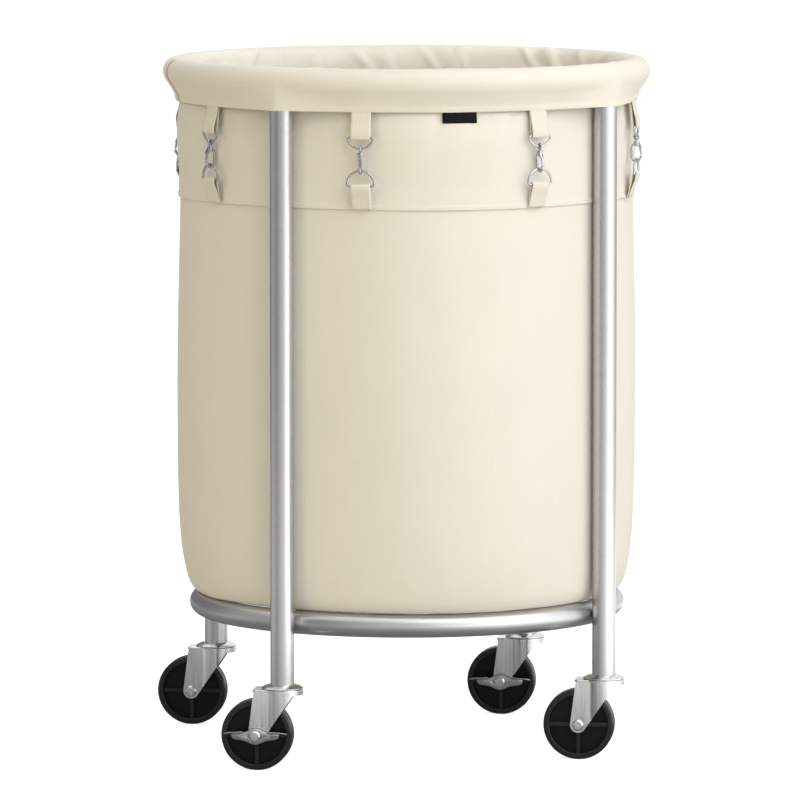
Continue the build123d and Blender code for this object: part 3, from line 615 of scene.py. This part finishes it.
def stitch_shape():
    """One stitch as a bead: rings of six points along its length, thinner at the ends, between -1 and 1."""
    along = np.array([-1.0, -0.7, 0.0, 0.7, 1.0])
    swell = np.array([0.35, 0.85, 1.0, 0.85, 0.35])
    turn = np.arange(6) * pi / 3
    sides = np.outer(swell, np.cos(turn)).ravel(), np.outer(swell, np.sin(turn)).ravel()
    return np.stack([np.repeat(along, 6), *sides], axis=1), tube_faces(len(along), 6)


def sew_stitches(name, centres, along, outward, cloth, material):
    """Stitches at centres, standing half out of the cloth."""
    shape, shape_faces = stitch_shape()
    sizes = np.array([stitch_share * cloth.stitch_length, stitch_half_width, stitch_half_rise])
    axes = np.stack([along, np.cross(outward, along), outward], axis=1) * sizes[:, None]
    points = centres[:, None, :] + np.einsum("kc,ncd->nkd", shape, axes)
    faces = [face for number in range(len(centres)) for face in shifted(shape_faces, number * len(shape))]
    make_piece(name, points, faces, material)


def stitch_row(levels, row, count, lift, share):
    """Even places round a swept line at one row, with the directions along it and out of the cloth."""
    angles = (np.arange(count) + 0.5) * 2 * pi / count
    near = levels[row - 1 : row + 2]
    lift = lift + ease_field(near, angles) + lap_field(levels, angles)[row - 1 : row + 2]
    centres = carry_round(near, angles, lift, share)[1]
    outward = unit(carry_round(near, angles, lift + 0.001, share)[1] - centres)
    along = np.stack([-np.sin(angles), np.cos(angles), 0 * angles], axis=1)
    along -= outward * np.sum(along * outward, axis=1)[:, None]
    return centres, unit(along), outward


# Brake levers

def wing_edge(across, edge):
    """Height of the plate's edge: it swells from edge to the hub by rise * exp(-(across / spread)^2)."""
    return edge + hub_rise * np.exp(-((across / hub_spread) ** 2))


def corner_share(beyond, radius):
    """Quarter ellipse that rounds a corner: 1 up to it, falling to a small remainder at its radius."""
    return np.sqrt(np.clip(1 - np.clip(beyond / radius, 0, 1) ** 2, 0.02, 1))


def wing_outline():
    """Outline of the winged plate: its lower edge from left to right, then the upper one back."""
    across = wing_reach * np.sin(np.linspace(-pi / 2, pi / 2, 81))
    lower = -wing_edge(across, wing_drop) * corner_share(np.abs(across) - wing_reach + wing_corner, wing_corner)
    upper = wing_edge(across, wing_top)
    return np.stack([np.r_[across, across[::-1]], np.r_[lower, upper[::-1]]], axis=1)


def bored_plate(outline, near, face):
    """Plate from the bore out to an outline, with eased edges: its rows run over the face and the back, joined up."""
    outward = unit(outline)
    bore, inset = lever_bore * outward, outline - lever_ease * outward
    middle = (bore + inset) / 2
    rows = np.stack([bore, middle, inset, outline, outline, inset, middle, bore])
    along = np.array([face, face, face, face - lever_ease, near + lever_ease, near, near, near])
    points = np.concatenate([rows, np.broadcast_to(along[:, None, None], (*rows.shape[:2], 1))], axis=2)
    faces = grid_faces(len(rows) + 1, len(outline), True)[:, ::-1] % (len(rows) * len(outline))
    return points.reshape(-1, 3), faces.tolist()


def foot_pedal(way):
    """Pedal folded out and up from a wing's edge: it tapers to a rounded tip, with ribs (1 - cos) / 2 along it."""
    across = np.linspace(pedal_start, pedal_reach, 72)[:, None]
    share = (across - pedal_start) / (pedal_reach - pedal_start)
    tip = corner_share(across - pedal_reach + pedal_tip, pedal_tip)
    root = corner_share(pedal_start + pedal_root - across, pedal_root)
    depth = pedal_depth * (1 - pedal_taper * share) * tip * root
    ribs = rib_rise * (1 - np.cos(2 * pi * across / rib_pitch)) / 2
    ribs *= fade(0.1, 0.2, share) * (1 - fade(0.65, 0.75, share))
    outwards = np.array([0.0, 0.3, 0.6, 0.9, 1.0, 0.9, 0.6, 0.3, 0.0])
    ribbed = np.array([0.0, 0.7, 1.0, 0.7, 0.4, 0.7, 1.0, 0.7, 0.0])
    below = np.array([0.0, 0.0, 0.0, 0.1, 0.5, 0.9, 1.0, 1.0, 1.0])
    up = wing_edge(across, wing_top) + pedal_tilt * depth * outwards + ribs * ribbed - pedal_thickness * below
    points = np.stack([way * across + 0 * up, up, lever_near + lever_ease + depth * outwards], axis=-1)
    return points.reshape(-1, 3), [face[::way] for face in tube_faces(*up.shape)]


def press_lever(corner, material):
    """Brake lever: a winged plate on a round boss that rocks about the axle, with a pedal at each end."""
    joint = joints[f"brake_rock_{corner}"]
    axle, up = np.array(joint["axis"]), np.array([0.0, 0.0, 1.0])
    axes = np.stack([np.cross(up, axle), up, axle])
    turn = np.arange(48) * 2 * pi / 48
    boss = boss_radius * np.stack([np.cos(turn), np.sin(turn)], axis=1)
    plates = bored_plate(wing_outline(), lever_near, lever_face), bored_plate(boss, boss_near, lever_near)
    points, faces = np.zeros((0, 3)), []
    for shell, shell_faces in (*plates, foot_pedal(1), foot_pedal(-1)):
        faces += shifted(shell_faces, len(points))
        points = np.concatenate([points, shell])
    placed = np.array(joint["pos_m"]) + points @ axes
    piece = make_piece(f"brake_rocker_{corner}", placed, faces, material, body=f"brake_{corner}")
    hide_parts(f"brake_lever_{corner}")


# Finishes

class Value:
    """A number in a node tree: arithmetic on it adds Math nodes."""

    def __init__(self, maker, socket):
        self.maker, self.socket = maker, socket

    def math(self, operation, *terms):
        return self.maker.node("ShaderNodeMath", dict(enumerate(terms)), operation=operation)

    def __rsub__(self, other):
        return self.math("SUBTRACT", other, self)

    def clamp(self):
        return self.maker.node("ShaderNodeClamp", {0: self})


def math_method(operation):
    """Method of Value that applies a Math node to it and what follows."""
    return lambda value, *others: value.math(operation, value, *others)


Value.__add__ = Value.__radd__ = math_method("ADD")
Value.__mul__ = Value.__rmul__ = math_method("MULTIPLY")
Value.__sub__, Value.__pow__ = math_method("SUBTRACT"), math_method("POWER")
Value.__abs__, Value.sine = math_method("ABSOLUTE"), math_method("SINE")


class NodeMaker:
    """Adds nodes to a tree and hands on their outputs as Values."""

    def __init__(self, tree):
        self.tree = tree

    def node(self, kind, inputs=(), output=0, **settings):
        """Add a node, set its settings, then its sockets' values or links, and return one output."""
        made = self.tree.nodes.new(kind)
        for key, value in settings.items():
            setattr(made, key, value)
        for key, value in dict(inputs).items():
            if isinstance(value, Value):
                self.tree.links.new(value.socket, made.inputs[key])
            else:
                made.inputs[key].default_value = value
        return Value(self, made.outputs[output])

    def rays(self, *kinds):
        """1 for a ray of any of these kinds, otherwise 0."""
        flags = [self.node("ShaderNodeLightPath", output=f"Is {kind} Ray") for kind in kinds]
        return sum(flags[1:], flags[0]).clamp()


class Paint(NodeMaker):
    """A material whose nodes end in one Principled shader."""

    def __init__(self, name, **constants):
        self.material = bpy.data.materials.new(name)
        self.material.use_nodes = True
        super().__init__(self.material.node_tree)
        self.shader = self.tree.nodes["Principled BSDF"]
        for socket, value in constants.items():
            self.shader.inputs[socket.replace("_", " ")].default_value = value

    def split(self, vector):
        """The three numbers of a vector."""
        made = self.tree.nodes.new("ShaderNodeSeparateXYZ")
        self.tree.links.new(vector.socket, made.inputs[0])
        return [Value(self, socket) for socket in made.outputs]

    def place(self):
        """Object coordinates, in metres, as three numbers."""
        return self.split(self.node("ShaderNodeTexCoord", output="Object"))

    def cloth_place(self):
        """UV coordinates, in metres, as two numbers."""
        return self.split(self.node("ShaderNodeUVMap", uv_map="cloth"))[:2]

    def vector(self, x=0.0, y=0.0, z=0.0):
        return self.node("ShaderNodeCombineXYZ", {0: x, 1: y, 2: z})

    def noise(self, vector, scale, detail=2.0, roughness=0.5):
        """Noise from 0 to 1 at scale features to the metre."""
        sockets = {"Vector": vector, "Scale": scale, "Detail": detail, "Roughness": roughness}
        return self.node("ShaderNodeTexNoise", sockets)

    def blend(self, share, first, second):
        """Colour between first and second."""
        return self.node("ShaderNodeMix", {0: share, 6: first, 7: second}, 2, data_type="RGBA")

    def tones(self, share, colour, darker, lighter):
        """Colour between a darker and a lighter tone of itself."""
        return self.blend(share, shade(colour, darker), shade(colour, lighter))

    def step(self, value, low, high):
        """0 below low, 1 above high and smooth between."""
        sockets = {"Value": value, "From Min": low, "From Max": high}
        return self.node("ShaderNodeMapRange", sockets, interpolation_type="SMOOTHSTEP")

    def waves(self, value, pitch):
        """Sine waves from 0 to 1."""
        return (value * (2 * pi / pitch)).sine() * 0.5 + 0.5

    def feed(self, **sockets):
        """Link values to the shader's sockets."""
        for socket, value in sockets.items():
            self.tree.links.new(value.socket, self.shader.inputs[socket.replace("_", " ")])
        return self.material

    def bump(self, height, distance, strength):
        """Normal from a height of 0 to 1 over distance metres."""
        sockets = {"Strength": strength, "Distance": distance, "Height": height}
        return self.node("ShaderNodeBump", sockets, "Normal")


def shade(colour, factor):
    """A colour made darker or lighter, with full alpha."""
    return (*[min(1.0, channel * factor) for channel in colour], 1.0)


def woven_cloth(cloth):
    """Plain weave: warp and weft waves, slubs along both, soft mottling and a painted shadow line at the lap."""
    paint = Paint("woven_cloth", Roughness=0.86, Sheen_Weight=0.18, Sheen_Roughness=0.45, Specular_IOR_Level=0.25)
    across, along = paint.cloth_place()
    turns = 2 * pi / cloth.thread_pitch
    weave = (across * turns).sine() * (along * turns).sine() * 0.5 + 0.5
    fine, long = 900.0, 22.0  # a slub's features to the metre, across and along its thread
    warp = paint.noise(paint.vector(across * fine, along * long), 1.0)
    weft = paint.noise(paint.vector(across * long, along * fine), 1.0)
    mottle = paint.noise(paint.vector(across, along), 14.0, 3.0)
    tone = weave * 0.30 + warp * 0.28 + weft * 0.28 + mottle * 0.34 - 0.10
    woven = paint.tones(tone.clamp(), cloth.colour, 0.90, 1.07)
    rim_run = -past_rim(bag_levels(cloth.thickness))[0]
    # a thin painted shadow along the lap, where the back end of the cuff lies over the front end
    off_lap = paint.step(abs(across - lap_angle * pole_circle), 0.0004, 0.0022)
    painted_lap_shadow = (1.0 - off_lap) * paint.step(along, rim_run, rim_run + lap_fade)
    colour = paint.blend(painted_lap_shadow * 0.6, woven, shade(cloth.colour, 0.25))
    height = weave * 0.55 + warp * 0.25 + weft * 0.25
    return paint.feed(Base_Color=colour, Normal=paint.bump(height, 0.00022, 0.75))


def ribbed_webbing(cloth):
    """Webbing: fine ribs along its length crossed by weft, with fibres along it."""
    paint = Paint("ribbed_webbing", Roughness=0.8, Sheen_Weight=0.15, Specular_IOR_Level=0.25)
    across, along = paint.cloth_place()
    ribs, picks = paint.waves(across, 0.0016), paint.waves(along, 0.0011)
    fibre = paint.noise(paint.vector(across * 1400.0, along * 120.0), 1.0)
    tone = ribs * 0.3 + picks * 0.25 + fibre * 0.45
    colour = paint.tones(tone.clamp(), cloth.webbing_colour, 0.86, 1.06)
    return paint.feed(Base_Color=colour, Normal=paint.bump(ribs * 0.6 + picks * 0.4, 0.0003, 0.7))


def sewing_thread(cloth):
    """Twisted thread, a little brighter than the cloth."""
    paint = Paint("sewing_thread", Roughness=0.6, Sheen_Weight=0.2)
    twist = paint.noise(paint.vector(*paint.place()), 2600.0, 1.0)
    return paint.feed(Base_Color=paint.tones(twist.clamp(), cloth.thread_colour, 0.85, 1.1))


def satin_ribbon(cloth):
    """Black woven satin: fine ribs across with a soft sheen, and nothing printed."""
    paint = Paint("satin_ribbon", Specular_IOR_Level=0.08)
    across, along = paint.cloth_place()
    ribs = paint.waves(along, 0.0007)
    fibre = paint.noise(paint.vector(across * 300.0, along * 2500.0), 1.0)
    colour = paint.tones(fibre, cloth.label_colour, 0.6, 1.5)
    return paint.feed(Base_Color=colour, Roughness=fibre * 0.2 + 0.36, Normal=paint.bump(ribs, 0.0001, 0.6))


def plated_tube(name, colour, upright, dull=0.0):
    """Satin plated tube: fine drawn streaks vary its brightness and gloss; dull adds roughness."""
    paint = Paint(name, Metallic=1.0, Anisotropic=0.35)
    x, y, z = paint.place()
    fine, long = 900.0, 5.0  # a streak's features to the metre, across and along it
    if upright:
        streak_place = paint.vector(x * fine, y * fine, z * long)
    else:
        streak_place = paint.vector((x * x + y * y) ** 0.5 * fine, z * fine)
    streak = paint.noise(streak_place, 1.0, 3.0, 0.6)
    cloud = paint.noise(paint.vector(x, y, z), 26.0, 3.0)
    tint = paint.tones(streak * 0.6 + cloud * 0.4, colour, 0.93, 1.05)
    roughness = streak * 0.08 + cloud * 0.07 + 0.20 + dull
    return paint.feed(Base_Color=tint, Roughness=roughness, Normal=paint.bump(streak, 0.00004, 0.35))


def zinc_plate(name, colour, dull=0.0):
    """Zinc-plated pressing: upright bands, partly draw marks and partly painted reflections of the curved sheet, fine
    grain and duller smudges; dull adds roughness.
    """
    paint = Paint(name, Metallic=1.0)
    x, y, z = paint.place()
    place = paint.vector(x, y, z)
    draw_marks_and_painted_reflections = paint.noise(paint.vector(x * 260.0, y * 260.0, z * 14.0), 1.0, 3.0, 0.6)
    grain = paint.noise(place, 1500.0)
    smudge = paint.noise(place, 60.0, 3.0)
    # the upright bands brighten and darken the colour as painted reflections, besides the draw marks' relief
    tint = paint.tones((draw_marks_and_painted_reflections * 1.6 - 0.3).clamp(), colour, 0.72, 1.16)
    roughness = smudge * 0.14 + grain * 0.04 + 0.12 + dull
    relief = paint.bump(draw_marks_and_painted_reflections * 0.8 + grain * 0.2, 0.0002, 0.3)
    return paint.feed(Base_Color=tint, Roughness=roughness, Normal=relief)


def nickel_plate(colour):
    """Nickel-plated casting: bright, with slight orange peel and rubbed places."""
    paint = Paint("nickel_plate", Metallic=1.0)
    place = paint.vector(*paint.place())
    peel, rubbed = paint.noise(place, 700.0), paint.noise(place, 150.0)
    tint = paint.tones(rubbed, colour, 0.75, 1.1)
    return paint.feed(Base_Color=tint, Roughness=rubbed * 0.10 + 0.05, Normal=paint.bump(peel, 0.00008, 0.3))


def moulded_wheel(corner, colour):
    """Moulded wheel: glossy rim and ribs, a recess left darker as painted shade, and a duller scuffed tread."""
    paint = Paint(f"moulded_wheel_{corner}", Specular_IOR_Level=0.20, Coat_Roughness=0.14)
    joint = joints[f"wheel_spin_{corner}"]
    centre, axle = joint["pos_m"], joint["axis"]
    x, y, z = paint.place()
    dx, dy, dz = x - centre[0], y - centre[1], z - centre[2]
    along = dx * axle[0] + dy * axle[1]
    flat = dx * axle[1] - dy * axle[0]
    radius = (flat * flat + dz * dz) ** 0.5
    place = paint.vector(x, y, z)
    scuff = paint.noise(place, 220.0, 4.0, 0.65)
    fine = paint.noise(place, 1800.0)
    tread = paint.step(radius, 0.0355, 0.0379)
    raised = paint.step(abs(along), 0.004, 0.008)
    # scuffs are wear; the even lift on the rim and ribs leaves the recess darker, which is painted shade
    wear_and_recess_shade = tread * scuff * 0.6 + raised * (scuff * 0.2 + 0.16)
    tint = paint.tones(wear_and_recess_shade.clamp(), colour, 0.5, 2.6)
    roughness = tread * 0.15 + scuff * 0.12 + 0.2
    relief = paint.bump(fine * 0.5 + scuff * 0.5, 0.00012, 0.3)
    return paint.feed(Base_Color=tint, Roughness=roughness, Coat_Weight=raised * 0.45, Normal=relief)


def moulded_socket(colour):
    """Plain moulded plastic with a fine grain."""
    paint = Paint("moulded_socket")
    grain = paint.noise(paint.vector(*paint.place()), 900.0)
    return paint.feed(Base_Color=paint.tones(grain, colour, 0.85, 1.2), Roughness=grain * 0.1 + 0.45)


def dress(names, material):
    """Give CAD nodes a finish."""
    for name in names:
        node = nodes[name]
        if not node.material_slots:
            node.data.materials.append(material)
        for slot in node.material_slots:
            slot.material = material


# Stage

def add_light(name, place, target, size, power):
    """Rectangular soft light at place, facing target."""
    lamp = bpy.data.lights.new(name, "AREA")
    lamp.shape, lamp.size, lamp.size_y, lamp.energy = "RECTANGLE", size[0], size[1], power
    light = add_object(name, lamp)
    light.location = place
    light.rotation_euler = (Vector(target) - Vector(place)).to_track_quat("-Z", "Y").to_euler()
    return light


def add_card(name, points, material):
    """Sheet of the studio from a grid of points."""
    card = add_object(name, make_mesh(name, points, grid_faces(*points.shape[:2], False), material))
    return card


def add_flag(name, points, shadow):
    """Grey card that shows only in reflections, to model the metal; shadow gives its brightness."""
    paint = Paint(name, Base_Color=(0.0, 0.0, 0.0, 1.0), Specular_IOR_Level=0.0, Emission_Strength=1.0)
    level = shadow(paint, *paint.place()[:2])
    flag = add_card(name, points, paint.feed(Emission_Color=paint.vector(level, level, level)))
    flag.visible_camera = flag.visible_diffuse = flag.visible_shadow = flag.visible_transmission = False


def floor_points(reach, height):
    """Square of four points round the axis."""
    x, y = np.meshgrid([-reach, reach], [-reach, reach])
    return np.stack([x, y, np.full(x.shape, height)], axis=-1)


def screen_points():
    """Upright screen that curves round the hamper, from behind past the left and the camera to the right."""
    turn = 3 * pi / 2 + camera_angle + np.radians(np.linspace(screen_start, screen_end, 70))
    low = np.stack([screen_reach * np.cos(turn), screen_reach * np.sin(turn), 0 * turn], axis=1)
    return np.stack([low, low + (0, 0, screen_height)])


def screen_shadow(paint, x, y):
    """Soft upright bars: grey at the left and bright at the right, by the turn from the camera's side."""
    across = x * cos(camera_angle) + y * sin(camera_angle)
    towards = x * sin(camera_angle) - y * cos(camera_angle)
    turn = across.math("ARCTAN2", across, towards)
    bars = [paint.step(turn, radians(start), radians(end)) * rise for start, end, rise in screen_steps]
    return sum(bars[1:], bars[0])


def floor_shadow(paint, x, y):
    """Dark below the hamper; further out it takes on the screen's bars, brighter."""
    further = paint.step((x * x + y * y) ** 0.5, 0.15, 1.3)
    return (1.0 - further) * 0.22 + further * 1.5 * screen_shadow(paint, x, y)


def pale_floor(colour):
    """Pale floor that the camera sees brighter than it is lit, so that it runs out to white."""
    paint = Paint("pale_floor", Base_Color=(*colour, 1.0), Roughness=0.9, Specular_IOR_Level=0.0)
    strength = paint.rays("Camera") * 0.80 + paint.rays("Glossy", "Transmission") * 0.3
    glow = paint.node("ShaderNodeEmission", {"Color": (1.0, 1.0, 1.0, 1.0), "Strength": strength})
    both = paint.node("ShaderNodeAddShader", {0: Value(paint, paint.shader.outputs[0]), 1: glow})
    paint.tree.links.new(both.socket, paint.tree.nodes["Material Output"].inputs["Surface"])
    return paint.material


def studio_world(ambient):
    """White to the camera and in gloss, and a plain even light of strength ambient otherwise."""
    world = bpy.data.worlds.new("studio")
    bpy.context.scene.world = world
    world.use_nodes = True
    maker = NodeMaker(world.node_tree)
    strength = maker.rays("Camera", "Glossy", "Transmission") * (1.0 - ambient) + ambient
    background = maker.tree.nodes["Background"]
    background.inputs["Color"].default_value = (1.0, 1.0, 1.0, 1.0)
    maker.tree.links.new(strength.socket, background.inputs["Strength"])


def add_camera():
    """Camera at the photograph's place, level across and pitched down."""
    data = bpy.data.cameras.new("photo_view")
    data.sensor_width, data.lens, data.shift_x = camera_sensor, camera_lens, camera_shift
    data.clip_end = 200.0
    camera = add_object("photo_view", data)
    camera.location = (camera_distance * sin(camera_angle), -camera_distance * cos(camera_angle), camera_height)
    camera.rotation_euler = (pi / 2 - camera_pitch, 0.0, camera_angle)
    bpy.context.scene.camera = camera


# Operators

class HAMPER_OT_bag(bpy.types.Operator):
    """Sew the bag: wall, rolled cuff, floor and band"""

    bl_idname = "hamper.bag"
    bl_label = "Bag"

    def execute(self, context):
        cloth = context.scene.hamper_cloth
        material = woven_cloth(cloth)
        sew_bag(cloth, material)
        sew_floor(cloth, material)
        sew_band(cloth, material)
        return {"FINISHED"}


class HAMPER_OT_straps(bpy.types.Operator):
    """Loop the webbing through the D-rings"""

    bl_idname = "hamper.straps"
    bl_label = "Straps"

    def execute(self, context):
        cloth = context.scene.hamper_cloth
        sew_straps(cloth, ribbed_webbing(cloth))
        return {"FINISHED"}


class HAMPER_OT_label(bpy.types.Operator):
    """Hang the bare label tab under the cuff"""

    bl_idname = "hamper.label"
    bl_label = "Label"

    def execute(self, context):
        cloth = context.scene.hamper_cloth
        sew_label(cloth, satin_ribbon(cloth))
        return {"FINISHED"}


class HAMPER_OT_stitching(bpy.types.Operator):
    """Stitch the hems of the cuff and the band"""

    bl_idname = "hamper.stitching"
    bl_label = "Stitching"

    def execute(self, context):
        cloth = context.scene.hamper_cloth
        thread = sewing_thread(cloth)
        count = int(2 * pi * pole_circle / (stitch_spacing * cloth.stitch_length))
        cuff, band = bag_levels(cloth.thickness), band_levels(cloth)
        for name, levels, hem_height, thickness, share in (
            ("cuff_stitches", cuff, cloth.cuff_hem_height, cloth.thickness, taut_share),
            ("band_stitches", band, cloth.band_hem_height, cloth.band_thickness, wave_share),
        ):
            top = np.argmax(levels[:, 2])
            row = top + np.argmin(np.abs(levels[top:, 2] - levels[-1, 2] - stitch_place * hem_height))
            lift = cloth.hem_rise + thickness / 2
            sew_stitches(name, *stitch_row(levels, row, count, lift, share), cloth, thread)
        return {"FINISHED"}


class HAMPER_OT_brakes(bpy.types.Operator):
    """Press the two brake levers"""

    bl_idname = "hamper.brakes"
    bl_label = "Brakes"

    def execute(self, context):
        zinc = zinc_plate("dull_zinc", context.scene.hamper_metal.lever_colour, dull=0.10)
        for corner in braked_corners:
            press_lever(corner, zinc)
        return {"FINISHED"}


class HAMPER_OT_finishes(bpy.types.Operator):
    """Finish the tubes, casters, clips and wheels"""

    bl_idname = "hamper.finishes"
    bl_label = "Finishes"

    def execute(self, context):
        metal = context.scene.hamper_metal
        in_slot = {slot: [name for name in nodes if slot_of[name] == slot] for slot in colour_of}
        tubes = in_slot["frame_steel"]
        sleeves = [name for name in tubes if name.endswith("sleeves")]
        poles = [name for name in tubes if name.startswith(("pole", "base"))]
        rings = set(tubes) - set(poles) - set(sleeves)
        dress(poles, plated_tube("plated_pole", metal.tube_colour, upright=True))
        dress(rings, plated_tube("plated_ring", metal.tube_colour, upright=False, dull=0.05))
        # the sleeves' darker colour is painted shade beside the poles
        dress(sleeves, plated_tube("plated_sleeve", metal.sleeve_colour, upright=False, dull=0.16))
        dress(in_slot["caster_steel"], zinc_plate("bright_zinc", metal.caster_colour))
        dress(in_slot["clip_metal"], nickel_plate(metal.clip_colour))
        dress(in_slot["socket_plastic"], moulded_socket(metal.socket_colour))
        for corner in corners:
            dress([f"wheel_{corner}"], moulded_wheel(corner, metal.wheel_colour))
        return {"FINISHED"}


class HAMPER_OT_stage(bpy.types.Operator):
    """Set up the pale floor, soft lights and the photograph's camera"""

    bl_idname = "hamper.stage"
    bl_label = "Stage"

    def execute(self, context):
        stage = context.scene.hamper_stage
        add_card("floor", floor_points(floor_reach, 0.0), pale_floor(stage.floor_colour))
        right = (cos(camera_angle), sin(camera_angle), 0)
        towards = (sin(camera_angle), -cos(camera_angle), 0)
        axes = np.array([right, towards, (0, 0, 1)])
        lights = {
            name: add_light(name, place @ axes, light_target, size, getattr(stage, f"{name}_power"))
            for name, (place, size) in light_plan.items()
        }
        lights["fill"].data.color = stage.fill_colour
        lights["fill"].visible_glossy = lights["rear"].visible_glossy = False
        lights["inside"].data.spread = inside_spread
        add_flag("screen", screen_points(), screen_shadow)
        add_flag("low_screen", floor_points(low_screen_reach, low_screen_height), floor_shadow)
        studio_world(stage.ambient)
        add_camera()
        context.scene.view_settings.view_transform = "Standard"
        return {"FINISHED"}


class HAMPER_PT_panel(bpy.types.Panel):
    """Hamper tools"""

    bl_idname = "HAMPER_PT_panel"
    bl_label = "Laundry hamper"
    bl_space_type = "VIEW_3D"
    bl_region_type = "UI"
    bl_category = "Hamper"

    def draw(self, context):
        for operator in OPERATORS:
            self.layout.operator(operator.bl_idname)
        for group in GROUPS:
            settings = getattr(context.scene, group)
            for name in settings.__annotations__:
                self.layout.prop(settings, name)


OPERATORS = (
    HAMPER_OT_bag,
    HAMPER_OT_straps,
    HAMPER_OT_label,
    HAMPER_OT_stitching,
    HAMPER_OT_brakes,
    HAMPER_OT_finishes,
    HAMPER_OT_stage,
)
GROUPS = {"hamper_cloth": HamperCloth, "hamper_metal": HamperMetal, "hamper_stage": HamperStage}


def register():
    for kind in (*GROUPS.values(), *OPERATORS, HAMPER_PT_panel):
        bpy.utils.register_class(kind)
    for name, kind in GROUPS.items():
        setattr(bpy.types.Scene, name, bpy.props.PointerProperty(type=kind))


def unregister():
    for name in GROUPS:
        delattr(bpy.types.Scene, name)
    for kind in reversed((*GROUPS.values(), *OPERATORS, HAMPER_PT_panel)):
        bpy.utils.unregister_class(kind)


def main():
    """Build every piece through its operator."""
    register()
    bpy.ops.hamper.bag()
    bpy.ops.hamper.straps()
    bpy.ops.hamper.label()
    bpy.ops.hamper.stitching()
    bpy.ops.hamper.brakes()
    bpy.ops.hamper.finishes()
    bpy.ops.hamper.stage()


if __name__ == "__main__":
    main()
